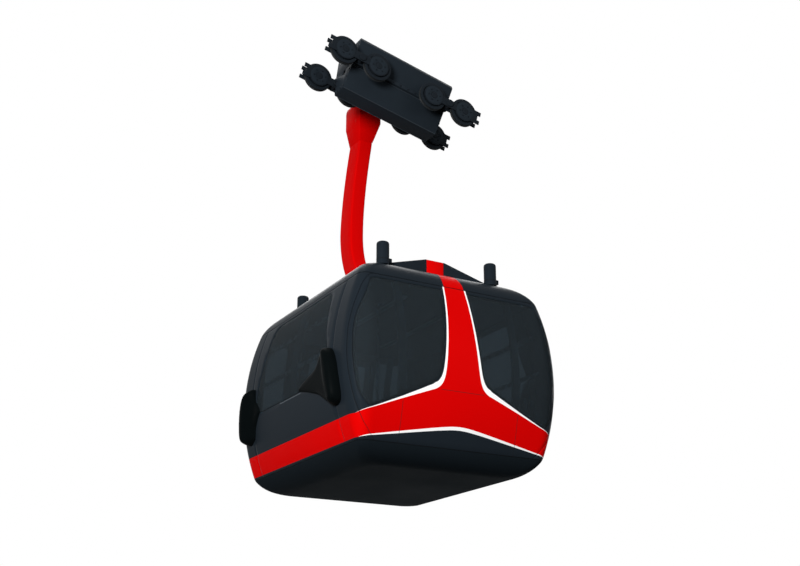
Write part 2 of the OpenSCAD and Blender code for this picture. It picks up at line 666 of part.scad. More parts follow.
underbody();
floor_plate();
side_wall();
side_glass();
door_side_wall();
door_side_glass();
end_wall_front();
end_wall_rear();
end_glass();
corner_pillars();
window_posts();
window_rails();
roof_panel();
ceiling_panel();
roof_beam();
roof_fairings();
roof_posts();
bumpers_front();
bumpers_rear();
door_track();
door_sill();
door_leaf_front();
door_leaf_rear();
door_glass_front();
door_glass_rear();
bench_front();
bench_rear();
grab_poles();
hanger_arm();
hanger_head();
hanger_foot();
pivot_axle();
pivot_cradle();
carriage_frame();
carriage_cover();
rope_grip();
rocker_stubs();
rocker_near_front();
rocker_near_rear();
rocker_far_front();
rocker_far_rear();
wheel_near_1();
wheel_near_2();
wheel_near_3();
wheel_near_4();
wheel_far_1();
wheel_far_2();
wheel_far_3();
wheel_far_4();
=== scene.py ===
"""Looks of a tricable ropeway's cabin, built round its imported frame.

The cabin hangs on an arm from a wheeled carriage that rolls on two track ropes. The frame gives every
size and place in metres. Each class below makes the pieces of one sub-assembly and gives them the
finish that the real one has.
"""

import logging
import math
from collections.abc import Callable, Iterable, Sequence
from dataclasses import dataclass, field
from enum import Enum

import bmesh
import bpy
import numpy as np
from mathutils import Matrix, Vector
from mathutils.geometry import delaunay_2d_cdt, tessellate_polygon

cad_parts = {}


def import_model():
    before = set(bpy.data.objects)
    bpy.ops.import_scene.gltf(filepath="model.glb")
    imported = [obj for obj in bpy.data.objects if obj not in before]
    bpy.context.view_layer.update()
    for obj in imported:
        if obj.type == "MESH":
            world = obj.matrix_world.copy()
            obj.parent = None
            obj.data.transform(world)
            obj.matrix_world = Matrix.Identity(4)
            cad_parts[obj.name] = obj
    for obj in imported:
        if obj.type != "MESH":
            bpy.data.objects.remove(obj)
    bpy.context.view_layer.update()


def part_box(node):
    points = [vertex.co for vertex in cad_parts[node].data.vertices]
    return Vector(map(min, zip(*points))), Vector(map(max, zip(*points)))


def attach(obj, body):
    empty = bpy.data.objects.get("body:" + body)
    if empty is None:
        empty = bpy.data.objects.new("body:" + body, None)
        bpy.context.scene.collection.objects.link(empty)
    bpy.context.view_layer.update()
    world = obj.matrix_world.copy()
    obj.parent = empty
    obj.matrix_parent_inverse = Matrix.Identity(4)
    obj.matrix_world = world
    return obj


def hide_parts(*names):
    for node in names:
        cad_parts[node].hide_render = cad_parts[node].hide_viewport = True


log = logging.getLogger("cabin")

MM = 0.001
Point2 = tuple[float, float]
Loop = list[Point2]


# ---------- colours and finishes ----------


def linear(hex_colour: str) -> tuple[float, float, float, float]:
    """Turns an sRGB hex value into linear RGBA.

    Args:
        hex_colour: Six hex digits, with or without a leading hash.

    Returns:
        Red, green, blue and alpha, from 0 to 1.
    """
    digits = hex_colour.lstrip("#")
    channels = [int(digits[i : i + 2], 16) / 255 for i in (0, 2, 4)]
    red, green, blue = (c / 12.92 if c <= 0.04045 else ((c + 0.055) / 1.055) ** 2.4 for c in channels)
    return red, green, blue, 1.0


def add(tree: bpy.types.NodeTree, kind: str, inputs: dict | None = None, **settings) -> bpy.types.Node:
    """Adds a node with its settings, values and links.

    Args:
        tree: The node tree that gets the node.
        kind: Blender's name for the node type.
        inputs: Socket name or number to a value, or to an output socket to link.
        **settings: Properties of the node.

    Returns:
        The new node.
    """
    node = tree.nodes.new(kind)
    for key, value in settings.items():
        setattr(node, key, value)
    for socket, value in (inputs or {}).items():
        if isinstance(value, bpy.types.NodeSocket):
            tree.links.new(value, node.inputs[socket])
        else:
            node.inputs[socket].default_value = value
    return node


@dataclass(frozen=True)
class Surface:
    """A material round one principled shader.

    Attributes:
        name: Common name of the real material and how its surface was made.
    """

    name: str

    def inputs(self, tree: bpy.types.NodeTree, place: bpy.types.NodeSocket) -> dict:
        """Returns the shader's inputs, with the textures that feed them."""
        raise NotImplementedError

    def material(self) -> bpy.types.Material:
        """Builds the material once, and returns the same one afterwards."""
        found = bpy.data.materials.get(self.name)
        if found:
            return found
        made = bpy.data.materials.new(self.name)
        made.use_nodes = True
        tree = made.node_tree
        tree.nodes.clear()
        place = add(tree, "ShaderNodeTexCoord").outputs["Object"]
        shader = add(tree, "ShaderNodeBsdfPrincipled", self.inputs(tree, place))
        add(tree, "ShaderNodeOutputMaterial", {"Surface": shader.outputs["BSDF"]})
        return made


@dataclass(frozen=True)
class Finish(Surface):
    """A painted, moulded or metal surface: a colour with slow drift, fine grain and uneven gloss.

    Attributes:
        colour: Main sRGB colour.
        drift: Second sRGB colour, which the first drifts towards over drift_mm.
        drift_mm: Size of the patches of drift, in millimetres.
        grain_mm: Size of the grain that the bump shows, in millimetres.
        grain_depth_mm: Height of that grain, in millimetres.
        roughness: Mean roughness.
        roughness_swing: How far the roughness strays either way.
        metallic: 1 for bare metal.
        specular: Specular level, which sets how strongly a dielectric mirrors its surroundings.
    """

    colour: str
    drift: str
    drift_mm: float
    grain_mm: float
    grain_depth_mm: float
    roughness: float
    roughness_swing: float = 0.05
    metallic: float = 0.0
    specular: float = 0.5

    def inputs(self, tree: bpy.types.NodeTree, place: bpy.types.NodeSocket) -> dict:
        """Returns the shader's inputs, with the textures that feed them."""
        cloud = add(
            tree,
            "ShaderNodeTexNoise",
            {"Vector": place, "Scale": 1 / (self.drift_mm * MM), "Detail": 3.0, "Roughness": 0.55},
        )
        grain = add(
            tree,
            "ShaderNodeTexNoise",
            {"Vector": place, "Scale": 1 / (self.grain_mm * MM), "Detail": 2.0},
        )
        mixed = add(
            tree,
            "ShaderNodeMix",
            {0: cloud.outputs["Fac"], 6: linear(self.colour), 7: linear(self.drift)},
            data_type="RGBA",
        )
        gloss = add(
            tree,
            "ShaderNodeMapRange",
            {
                "Value": cloud.outputs["Fac"],
                "From Min": 0.3,
                "From Max": 0.7,
                "To Min": self.roughness - self.roughness_swing,
                "To Max": self.roughness + self.roughness_swing,
            },
        )
        bump = add(
            tree,
            "ShaderNodeBump",
            {"Height": grain.outputs["Fac"], "Distance": self.grain_depth_mm * MM, "Strength": 0.6},
        )
        return {
            "Base Color": mixed.outputs[2],
            "Roughness": gloss.outputs["Result"],
            "Metallic": self.metallic,
            "Specular IOR Level": self.specular,
            "Normal": bump.outputs["Normal"],
        }


@dataclass(frozen=True)
class TintedGlass(Surface):
    """A pane of body-tinted safety glass: smooth, dark, a little blue, with a faint wiped film."""

    tint: str
    roughness: float
    specular: float
    # Thin panes hardly bend what is seen through them
    ior: float = 1.025
    clear: float = 0.86

    def inputs(self, tree: bpy.types.NodeTree, place: bpy.types.NodeSocket) -> dict:
        """Returns the shader's inputs, with the textures that feed them."""
        # Wiping leaves patches of about 300 mm that are a little duller
        film = add(tree, "ShaderNodeTexNoise", {"Vector": place, "Scale": 1 / 0.3, "Detail": 2.0})
        gloss = add(
            tree,
            "ShaderNodeMapRange",
            {"Value": film.outputs["Fac"], "To Min": 0.5 * self.roughness, "To Max": 1.5 * self.roughness},
        )
        return {
            "Base Color": linear(self.tint),
            "Roughness": gloss.outputs["Result"],
            "IOR": self.ior,
            "Transmission Weight": self.clear,
            "Specular IOR Level": self.specular,
        }


# Two-layer vehicle paint in anthracite, sprayed and polished: dark, evenly glossy, a faint orange peel
ANTHRACITE_PAINT = Finish(
    "anthracite_two_layer_paint", "#1a2026", "#1c2329", 700, 9, 0.05, 0.34, 0.03, specular=0.012
)
# The same paint in a clear signal red
RED_PAINT = Finish(
    "signal_red_two_layer_paint", "#d20303", "#ca0303", 800, 9, 0.05, 0.32, 0.03, specular=0.006
)
# Cast vinyl striping, cut and laid on the paint: plain white, satin
WHITE_FILM = Finish("white_vinyl_striping", "#fdfdfd", "#f8f8f8", 400, 3, 0.02, 0.4, specular=0.2)
# Red paint on thick welded plate: the peel of a heavier coat
ARM_PAINT = Finish(
    "red_paint_on_steel_plate", "#d20303", "#c90303", 500, 14, 0.12, 0.38, 0.04, specular=0.006
)
# Dark powder coat on the carriage's plates: fine, even orange peel, blue-grey
CARRIAGE_COAT = Finish("blue_grey_powder_coat", "#1c2228", "#20272d", 350, 4, 0.10, 0.45, 0.05, specular=0.02)
# The same coat, lighter, on bent edges: a painted highlight for the lines of light along them
PAINTED_HIGHLIGHT_COAT = Finish("powder_coat_painted_highlight", "#353c42", "#2f363c", 120, 4, 0.10, 0.45, 0.05, specular=0.02)
# Cast steel under the same coat, sand-cast skin showing through
CAST_COAT = Finish("powder_coated_cast_steel", "#171c21", "#1c2126", 160, 7, 0.35, 0.5, 0.06, specular=0.02)
# Glass-filled polyester of the tub: sprayed matt, with stone grit thrown up by the wind
TUB_COAT = Finish("matt_sprayed_polyester", "#151b1f", "#171d22", 900, 6, 0.06, 0.60, 0.04, specular=0.004)
# Moulded polyurethane of the bumpers: leathery grain, dull sheen
BUMPER_PLASTIC = Finish(
    "moulded_polyurethane", "#06090a", "#080c0d", 220, 5, 0.10, 0.36, 0.05, specular=0.005
)
# Ground and zinc-plated steel: grey, softly mirror-like, with faint dull patches
BARE_STEEL = Finish("zinc_plated_steel", "#8b9096", "#7d8288", 90, 2, 0.03, 0.34, 0.08, metallic=1.0)
# Brushed stainless steel tube of the poles and rails
STAINLESS = Finish("brushed_stainless_steel", "#a4a8ac", "#989ca1", 120, 1.5, 0.02, 0.28, 0.06, metallic=1.0)
# Extruded rubber of seals and door edges: black, dull, a trace of bloom
SEAL_RUBBER = Finish("extruded_sealing_rubber", "#0a0b0c", "#101213", 150, 3, 0.08, 0.7, 0.08, specular=0.10)
# Cast polyurethane liner in the wheels' grooves: dark, worn matt by the rope
LINER = Finish("cast_polyurethane_liner", "#121517", "#1a1d1f", 60, 4, 0.15, 0.6, 0.08, specular=0.12)
# Injection-moulded seats: satin plastic with a fine spark-eroded grain
SEAT_PLASTIC = Finish("grained_seat_plastic", "#2b3036", "#30363c", 260, 2.5, 0.1, 0.48, 0.05, specular=0.4)
# Glass-fibre trim of the ceiling and inner linings: slate grey, moulded smooth
TRIM_PLASTIC = Finish("moulded_glass_fibre_trim", "#3c4248", "#373d43", 500, 5, 0.05, 0.5, 0.05, specular=0.2)
# Vulcanised rubber floor: studded, dull, scuffed lighter in slow patches
FLOOR_RUBBER = Finish("studded_rubber_floor", "#1d1f21", "#27292b", 300, 3, 0.12, 0.75, 0.08, specular=0.2)
# Anodised aluminium sections of posts, tracks and sills: fine drawing marks, blue-grey
ANODISED = Finish("dark_anodised_aluminium", "#4c5860", "#444f57", 300, 1.5, 0.03, 0.38, 0.06, metallic=0.5)
# Opal diffuser of the ceiling lights, switched off
OPAL = Finish("opal_acrylic_diffuser", "#dfe3e6", "#d6dadd", 200, 4, 0.03, 0.3, specular=0.5)
# Painted screed of the studio: matt, nearly white
PALE_FLOOR = Finish("painted_studio_floor", "#f3f3f1", "#efefed", 3000, 20, 0.05, 0.85, 0.03, specular=0.2)
# Body-tinted laminated glass of the windows
GLASS = TintedGlass("dark_tinted_laminated_glass", "#58636a", 0.02, 0.03)


class Slot(Enum):
    """The names of the record's material slots."""

    SHELL = "shell_paint"
    BAND = "band_paint"
    ARM = "arm_paint"
    CARRIAGE = "carriage_paint"
    BUMPER = "bumper_plastic"
    GLASS = "tinted_glass"
    STEEL = "bare_steel"
    SEAT = "seat_plastic"
    TRIM = "trim_plastic"
    FLOOR = "floor_rubber"


# ---------- outlines in a plane ----------


def block(left: float, right: float, low: float, high: float) -> Loop:
    """Returns a rectangle's corners in order, from its lower left one."""
    return [(left, low), (right, low), (right, high), (left, high)]


def oval(wide: float, tall: float, count: int) -> Loop:
    """Returns points round an oval with these two radii, or round a circle when they are the same."""
    turns = np.linspace(0, 2 * math.pi, count + 1)[:-1]
    return [(wide * math.cos(a), tall * math.sin(a)) for a in turns]


def rounded(points: Sequence[Point2], radius: float, steps: int = 5) -> Loop:
    """Rounds the corners of a closed outline.

    Args:
        points: Corners in order.
        radius: How far from a corner its rounding starts, cut short on short sides.
        steps: Points in one rounding.

    Returns:
        The outline with each corner turned into a short curve.
    """
    made: Loop = []
    pts = [Vector(p) for p in points]
    for i, corner in enumerate(pts):
        before, after = pts[i - 1] - corner, pts[(i + 1) % len(pts)] - corner
        reach = min(radius, 0.45 * before.length, 0.45 * after.length)
        start, end = corner + before.normalized() * reach, corner + after.normalized() * reach
        for k in range(steps + 1):
            t = k / steps
            made.append(tuple(start * (1 - t) ** 2 + corner * 2 * t * (1 - t) + end * t**2))
    return made


def smooth_line(points: Sequence[Point2], steps: int = 6) -> Loop:
    """Passes a smooth curve through points.

    Args:
        points: Points that the curve goes through.
        steps: Points for each span between two of them.

    Returns:
        Points along the curve, ends included.
    """
    p = [np.array(q, float) for q in points]
    p = [2 * p[0] - p[1], *p, 2 * p[-1] - p[-2]]
    made: Loop = []
    for i in range(1, len(p) - 2):
        for k in range(steps):
            t = k / steps
            q = 0.5 * (
                2 * p[i]
                + (p[i + 1] - p[i - 1]) * t
                + (2 * p[i - 1] - 5 * p[i] + 4 * p[i + 1] - p[i + 2]) * t**2
                + (3 * p[i] - p[i - 1] - 3 * p[i + 1] + p[i + 2]) * t**3
            )
            made.append((float(q[0]), float(q[1])))
    made.append((float(p[-2][0]), float(p[-2][1])))
    return made


def split(path: Sequence[Point2], longest: float) -> Loop:
    """Splits the spans of an open line so that none is longer than a limit."""
    made: Loop = []
    for a, b in zip(path, path[1:]):
        count = max(1, math.ceil(math.dist(a, b) / longest))
        made += [(a[0] + (b[0] - a[0]) * k / count, a[1] + (b[1] - a[1]) * k / count) for k in range(count)]
    return [*made, tuple(path[-1])]


def resampled(loop: Sequence[Point2], longest: float) -> Loop:
    """Splits the sides of a closed outline so that none is longer than a limit."""
    return split([*loop, loop[0]], longest)[:-1]


def beside(line: Sequence[Sequence[float]], i: int, gap: float) -> Point2:
    """Returns the point at a distance to the left of a line's point."""
    before, after = line[max(i - 1, 0)], line[min(i + 1, len(line) - 1)]
    along = Vector((after[0] - before[0], after[1] - before[1])).normalized()
    return line[i][0] - along.y * gap, line[i][1] + along.x * gap


def area_of(loop: Sequence[Point2]) -> float:
    """Returns the signed area of a closed outline, positive when it runs anticlockwise."""
    return 0.5 * sum(a[0] * b[1] - b[0] * a[1] for a, b in zip(loop, [*loop[1:], loop[0]]))


def inset(loop: Sequence[Point2], distance: float) -> Loop:
    """Moves a closed outline inwards, or outwards for a negative distance.

    Args:
        loop: Corners in order, either way round.
        distance: How far each side moves.

    Returns:
        The moved outline, with as many points.
    """
    turn = 1.0 if area_of(loop) > 0 else -1.0
    made: Loop = []
    count = len(loop)
    for i in range(count):
        before = Vector(loop[i]) - Vector(loop[i - 1])
        after = Vector(loop[(i + 1) % count]) - Vector(loop[i])
        n0 = Vector((-before.y, before.x)).normalized() * turn
        n1 = Vector((-after.y, after.x)).normalized() * turn
        middle = (n0 + n1).normalized() if (n0 + n1).length > 1e-6 else n0
        spread = max(0.45, middle.dot(n0))
        moved = Vector(loop[i]) + middle * (distance / spread)
        made.append((moved.x, moved.y))
    return made


def inside(points: np.ndarray, loop: Sequence[Point2]) -> np.ndarray:
    """Says which points lie inside a closed outline.

    Args:
        points: Array of shape (n, 2).
        loop: Corners of the outline.

    Returns:
        Array of n truth values.
    """
    x, y = points[:, 0], points[:, 1]
    odd = np.zeros(len(points), bool)
    for i, a in enumerate(loop):
        b = loop[(i + 1) % len(loop)]
        if a[1] == b[1]:
            continue
        crosses = (a[1] > y) != (b[1] > y)
        odd ^= crosses & (x < (b[0] - a[0]) * (y - a[1]) / (b[1] - a[1]) + a[0])
    return odd


def edge_distance(points: np.ndarray, loops: Iterable[Sequence[Point2]]) -> np.ndarray:
    """Measures how far each point is from the nearest side of any outline.

    Args:
        points: Array of shape (n, 2).
        loops: Closed outlines.

    Returns:
        Array of n distances.
    """
    nearest = np.full(len(points), 1e9)
    for loop in loops:
        for i, a in enumerate(loop):
            start, end = np.array(a), np.array(loop[(i + 1) % len(loop)])
            along = end - start
            length2 = max(float(along @ along), 1e-12)
            t = np.clip(((points - start) @ along) / length2, 0, 1)
            gap = np.linalg.norm(points - (start + t[:, None] * along), axis=1)
            nearest = np.minimum(nearest, gap)
    return nearest


# ---------- building meshes ----------


def baked(obj: bpy.types.Object) -> bpy.types.Object:
    """Turns an object's modifiers into plain mesh, and returns the object."""
    depsgraph = bpy.context.evaluated_depsgraph_get()
    mesh = bpy.data.meshes.new_from_object(obj.evaluated_get(depsgraph))
    obj.modifiers.clear()
    obj.data = mesh
    return obj


class Builder:
    """Collects faces of one piece and turns them into an object that rides on a body."""

    def __init__(self, name: str, body: str, slot: Slot, *replaced: str) -> None:
        """Starts an empty piece.

        Args:
            name: Name of the piece.
            body: Body that it rides on.
            slot: The record's slot for its finish; not used.
            *replaced: Frame nodes that it stands for.
        """
        self.name = name
        self.body = body
        self.slot = slot
        self.replaced = replaced
        self.verts: list[Vector] = []
        self.faces: list[tuple[int, ...]] = []
        self.indices: list[int] = []
        self.finishes: list[Surface] = []

    def index_of(self, finish: Surface) -> int:
        """Returns the material number of a finish, and adds it at its first use."""
        if finish not in self.finishes:
            self.finishes.append(finish)
        return self.finishes.index(finish)

    def add(self, verts: Iterable, faces: Iterable[Sequence[int]], finish: Surface) -> None:
        """Adds faces.

        Args:
            verts: Points in the row frame.
            faces: Faces, as numbers of those points.
            finish: Finish of all these faces.
        """
        start, number = len(self.verts), self.index_of(finish)
        self.verts += [Vector(v) for v in verts]
        for face in faces:
            self.faces.append(tuple(start + i for i in face))
            self.indices.append(number)

    def prism(
        self,
        place: Matrix,
        outline: Sequence[Point2],
        low: float,
        high: float,
        finish: Surface,
        holes: Sequence[Sequence[Point2]] = (),
    ) -> None:
        """Adds an outline in a place's own XY plane, driven along its Z.

        Args:
            place: Where the plane lies in the row frame.
            outline: Outer corners.
            low: Start along Z.
            high: End along Z.
            finish: Finish of the prism.
            holes: Outlines of holes through it.
        """
        loops = [list(outline), *[list(h) for h in holes]]
        loops = [p if (area_of(p) > 0) == (k == 0) else p[::-1] for k, p in enumerate(loops)]
        flat = [p for loop in loops for p in loop]
        count = len(flat)
        verts = [place @ Vector((x, y, z)) for z in (low, high) for x, y in flat]
        faces: list[tuple[int, ...]] = []
        if len(loops) == 1:
            faces += [tuple(range(count))[::-1], tuple(count + i for i in range(count))]
        else:
            for tri in tessellate_polygon([[Vector((x, y, 0)) for x, y in loop] for loop in loops]):
                a, b, c = (Vector(flat[i]) for i in tri)
                tri = tri if (b - a).cross(c - a) > 0 else tri[::-1]
                faces += [tuple(tri)[::-1], tuple(count + i for i in tri)]
        start = 0
        for loop in loops:
            n = len(loop)
            for i in range(n):
                j = (i + 1) % n
                faces.append((start + i, start + j, count + start + j, count + start + i))
            start += n
        self.add(verts, faces, finish)

    def lathe(
        self,
        place: Matrix,
        profile: Sequence[Point2],
        finish: Surface | Sequence[Finish],
        segments: int = 40,
        closed: bool = False,
    ) -> None:
        """Adds a turned shape round a place's own Z axis.

        Args:
            place: Where the axis lies in the row frame.
            profile: Radius and height of each point, in order.
            finish: One finish, or one for each side of the profile.
            segments: Steps round the axis.
            closed: Whether the profile joins up with its own start, as a ring's does.
        """
        rows: list[list[int]] = []
        verts: list[Vector] = []
        for radius, height in profile:
            if radius < 1e-6:
                rows.append([len(verts)] * segments)
                verts.append(place @ Vector((0, 0, height)))
                continue
            rows.append(list(range(len(verts), len(verts) + segments)))
            for k in range(segments):
                a = 2 * math.pi * k / segments
                verts.append(place @ Vector((radius * math.cos(a), radius * math.sin(a), height)))
        start = len(self.verts)
        self.verts += verts
        spans = len(rows) if closed else len(rows) - 1
        for j in range(spans):
            one, two = rows[j], rows[(j + 1) % len(rows)]
            number = self.index_of(finish[j] if isinstance(finish, (list, tuple)) else finish)
            for k in range(segments):
                m = (k + 1) % segments
                face = list(dict.fromkeys((one[k], one[m], two[m], two[k])))
                if len(face) > 2:
                    self.faces.append(tuple(start + i for i in face))
                    self.indices.append(number)

    def tube(
        self,
        path: Sequence[Vector],
        section: Callable[[int], Sequence[Point2]],
        side: Vector,
        finish: Surface,
        capped: bool = True,
    ) -> None:
        """Adds a section swept along a path.

        Args:
            path: Points of the middle line.
            section: Gives the outline at a point number, as (along side, across it).
            side: Direction that stays the first axis of the section.
            finish: Finish of the sweep.
            capped: Whether the ends are closed.
        """
        verts: list[Vector] = []
        last = len(path) - 1
        for i, p in enumerate(path):
            ahead = (path[min(i + 1, last)] - path[max(i - 1, 0)]).normalized()
            first = (side - ahead * side.dot(ahead)).normalized()
            second = ahead.cross(first)
            verts += [p + first * u + second * v for u, v in section(i)]
        n = len(section(0))
        faces: list[tuple[int, ...]] = []
        for j in range(last):
            for k in range(n):
                m = (k + 1) % n
                faces.append((j * n + k, j * n + m, (j + 1) * n + m, (j + 1) * n + k))
        if capped:
            faces += [tuple(range(n))[::-1], tuple(last * n + k for k in range(n))]
        self.add(verts, faces, finish)

    def finish(self, bevel: float = 0.0, angle: float = 38.0, merge: bool = False) -> bpy.types.Object:
        """Makes the object, and hands it to its body.

        Args:
            bevel: Width of the rounding of its sharp edges, or 0 for none.
            angle: Turn in degrees past which an edge stays sharp.
            merge: Whether points that meet are joined first.

        Returns:
            The finished piece.
        """
        mesh = bpy.data.meshes.new(self.name)
        mesh.from_pydata(self.verts, [], self.faces)
        mesh.validate()
        for finish in self.finishes:
            mesh.materials.append(finish.material())
        if len(mesh.polygons) == len(self.indices):
            mesh.polygons.foreach_set("material_index", self.indices)
        obj = bpy.data.objects.new(self.name, mesh)
        bpy.context.scene.collection.objects.link(obj)
        tidy_mesh(mesh, merge)
        if bevel:
            bevelled(obj, bevel, angle)
        return handed_over(obj, self.body, self.replaced, angle)


def bevelled(obj: bpy.types.Object, width: float, angle: float) -> None:
    """Rounds those edges of an object that turn by more than an angle in degrees."""
    rounding = obj.modifiers.new("rounding", "BEVEL")
    rounding.width = width
    rounding.segments = 2
    rounding.limit_method = "ANGLE"
    rounding.angle_limit = math.radians(angle)
    baked(obj)


def tidy_mesh(mesh: bpy.types.Mesh, merge: bool) -> None:
    """Turns a mesh's faces outwards, after joining points that meet where that is asked."""
    bm = bmesh.new()
    bm.from_mesh(mesh)
    if merge:
        bmesh.ops.remove_doubles(bm, verts=bm.verts, dist=0.02 * MM)
    bmesh.ops.recalc_face_normals(bm, faces=bm.faces)
    bm.to_mesh(mesh)
    bm.free()


def handed_over(
    obj: bpy.types.Object, body: str, replaced: Iterable[str], angle: float
) -> bpy.types.Object:
    """Shades a piece and ties it to its body.

    Args:
        obj: The piece, with its place in its mesh.
        body: Body that it rides on.
        replaced: Frame nodes that it stands for.
        angle: Turn in degrees past which an edge is shaded sharp.

    Returns:
        The same piece.
    """
    mesh = obj.data
    mesh.polygons.foreach_set("use_smooth", [True] * len(mesh.polygons))
    mesh.set_sharp_from_angle(angle=math.radians(angle))
    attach(obj, body)
    if replaced:
        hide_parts(*replaced)
    log.info("%s: %d faces on %s", obj.name, len(mesh.polygons), body)
    return obj


def softened(
    node: str, name: str, body: str, finish: Finish, bevel: float, angle: float = 30.0
) -> bpy.types.Object:
    """Copies a frame node, rounds its sharp edges and gives it a finish.

    Args:
        node: Frame node that is copied and replaced.
        name: Name of the new piece.
        body: Body that it rides on.
        finish: Its finish.
        bevel: Width of the rounding.
        angle: Turn in degrees past which an edge is rounded.

    Returns:
        The new piece.
    """
    source = bpy.data.objects[node]
    mesh = source.data.copy()
    mesh.name = name
    bm = bmesh.new()
    bm.from_mesh(mesh)
    bmesh.ops.remove_doubles(bm, verts=bm.verts, dist=0.02 * MM)
    bmesh.ops.dissolve_limit(bm, angle_limit=math.radians(1.0), verts=bm.verts, edges=bm.edges)
    bm.to_mesh(mesh)
    bm.free()
    mesh.materials.clear()
    mesh.materials.append(finish.material())
    obj = bpy.data.objects.new(name, mesh)
    bpy.context.scene.collection.objects.link(obj)
    bevelled(obj, bevel, angle)
    return handed_over(obj, body, (node,), 35.0)


# ---------- the cabin's shell ----------


@dataclass(frozen=True)
class ShellForm:
    """The outer form of the cabin: one arc up each side, with a shoulder, a hem and round corners.

    Heights are over the belt line, and s runs round a quarter of the cabin: along half a side, round
    the corner, and along half an end.
    """

    length: float = 2.800
    width: float = 3.340
    roof_rise: float = 2.050
    floor_drop: float = 0.500
    bulge: float = 0.100
    bulge_z: float = 0.730
    bulge_r: float = 2.850
    shoulder_z: float = 1.760
    hem_drop: float = 0.240
    seam_drop: float = 0.290
    side_half: float = 1.200
    end_half: float = 1.230
    growth: float = 0.35

    @property
    def end_flat(self) -> float:
        """Half of the flat part of an end, where its corners start."""
        return self.width / 2 - self.length / 2 + self.side_half

    @property
    def arc(self) -> float:
        """Length of s that goes to the corner."""
        return math.pi / 2 * (self.length / 2 - self.side_half)

    @property
    def quarter(self) -> float:
        """Length of s over the whole quarter."""
        return self.side_half + self.arc + self.end_flat

    @property
    def end_seam(self) -> float:
        """Where the seam between a corner and an end lies along s."""
        return self.quarter - self.end_half

    def outward(self, z: np.ndarray) -> np.ndarray:
        """Returns how far the skin stands out beyond the belt line at each height."""
        z = np.asarray(z, float)

        def side(h: np.ndarray | float) -> np.ndarray:
            turn = np.arcsin(np.clip((h - self.bulge_z) / self.bulge_r, -1, 1))
            return self.bulge - self.bulge_r * (1 - np.cos(turn))

        top = math.asin((self.shoulder_z - self.bulge_z) / self.bulge_r)
        top_r = (self.roof_rise - self.shoulder_z) / (1 - math.sin(top))
        over = np.arcsin(np.clip((z - self.roof_rise + top_r) / top_r, -1, 1))
        hem = math.asin((self.bulge_z + self.hem_drop) / self.bulge_r)
        hem_r = (self.floor_drop - self.hem_drop) / (1 - math.sin(hem))
        under = np.arcsin(np.clip((hem_r - self.floor_drop - z) / hem_r, -1, 1))
        shoulder = side(self.shoulder_z) + top_r * (np.cos(over) - math.cos(top))
        foot = side(-self.hem_drop) + hem_r * (np.cos(under) - math.cos(hem))
        return np.where(z > self.shoulder_z, shoulder, np.where(z < -self.hem_drop, foot, side(z)))

    def at(self, s: np.ndarray, z: np.ndarray, depth: np.ndarray | float) -> np.ndarray:
        """Finds points of one quarter, in the cabin's own place.

        Args:
            s: Places round the quarter.
            z: Heights over the belt line.
            depth: Depths inside the skin.

        Returns:
            Array of shape (n, 3), with x and y from the middle of the cabin.
        """
        s, z = np.asarray(s, float), np.asarray(z, float)
        out = self.outward(z)
        edge = self.outward(np.clip(z, -self.seam_drop, self.shoulder_z))
        hx = self.length / 2 + out - depth
        hy = self.width / 2 + out - depth
        r = np.maximum(self.length / 2 - self.side_half + edge + self.growth * (edge - out) - depth, 0.01)
        turn = np.clip((s - self.side_half) / self.arc, 0, 1) * math.pi / 2
        x = np.where(s < self.side_half, s / self.side_half * (hx - r), hx - r + r * np.sin(turn))
        corner_y = hy - r + r * np.cos(turn)
        end_y = (self.quarter - s) / self.end_flat * (hy - r)
        y = np.where(s > self.side_half + self.arc, end_y, corner_y)
        return np.stack([x, y, z + np.zeros_like(x)], axis=1)


class Face(Enum):
    """A face of the cabin that a panel can lie on, as the signs of its x and y."""

    SIDE = (0, -1)
    DOOR_SIDE = (0, 1)
    FRONT = (1, 0)
    REAR = (-1, 0)
    SIDE_FRONT = (1, -1)
    SIDE_REAR = (-1, -1)
    DOOR_FRONT = (1, 1)
    DOOR_REAR = (-1, 1)


@dataclass(frozen=True)
class CabinFrame:
    """Where the cabin hangs in the row frame, and its shell."""

    middle_x: float
    belt_z: float
    shell: ShellForm = field(default_factory=ShellForm)

    def place(self, face: Face, a: np.ndarray, z: np.ndarray, depth: np.ndarray | float) -> np.ndarray:
        """Maps points of a face to the row frame.

        Args:
            face: The face. On a side a is x, on an end it is y, and on a corner it is s.
            a: Places along the face.
            z: Heights over the belt line.
            depth: Depths inside the skin.

        Returns:
            Array of shape (n, 3).
        """
        sx, sy = face.value
        a = np.asarray(a, float)
        if sx and sy:
            p = self.shell.at(a, z, depth) * [sx, sy, 1]
        elif sy:
            p = self.shell.at(np.abs(a), z, depth)
            p = p * np.stack([np.sign(a), np.full_like(a, sy), np.ones_like(a)], axis=1)
        else:
            p = self.shell.at(self.shell.quarter - np.abs(a), z, depth)
            p = p * np.stack([np.full_like(a, sx), np.sign(a), np.ones_like(a)], axis=1)
        return p + [self.middle_x, 0, self.belt_z]

    def matrix(self, x: float = 0.0, y: float = 0.0, z: float = 0.0) -> Matrix:
        """Returns the place of a point of the cabin, given from its middle and its belt line."""
        return Matrix.Translation((self.middle_x + x, y, self.belt_z + z))


@dataclass
class Zone:
    """A coloured patch of a panel: an outline, and the finish inside it."""

    outline: Loop
    finish: Finish


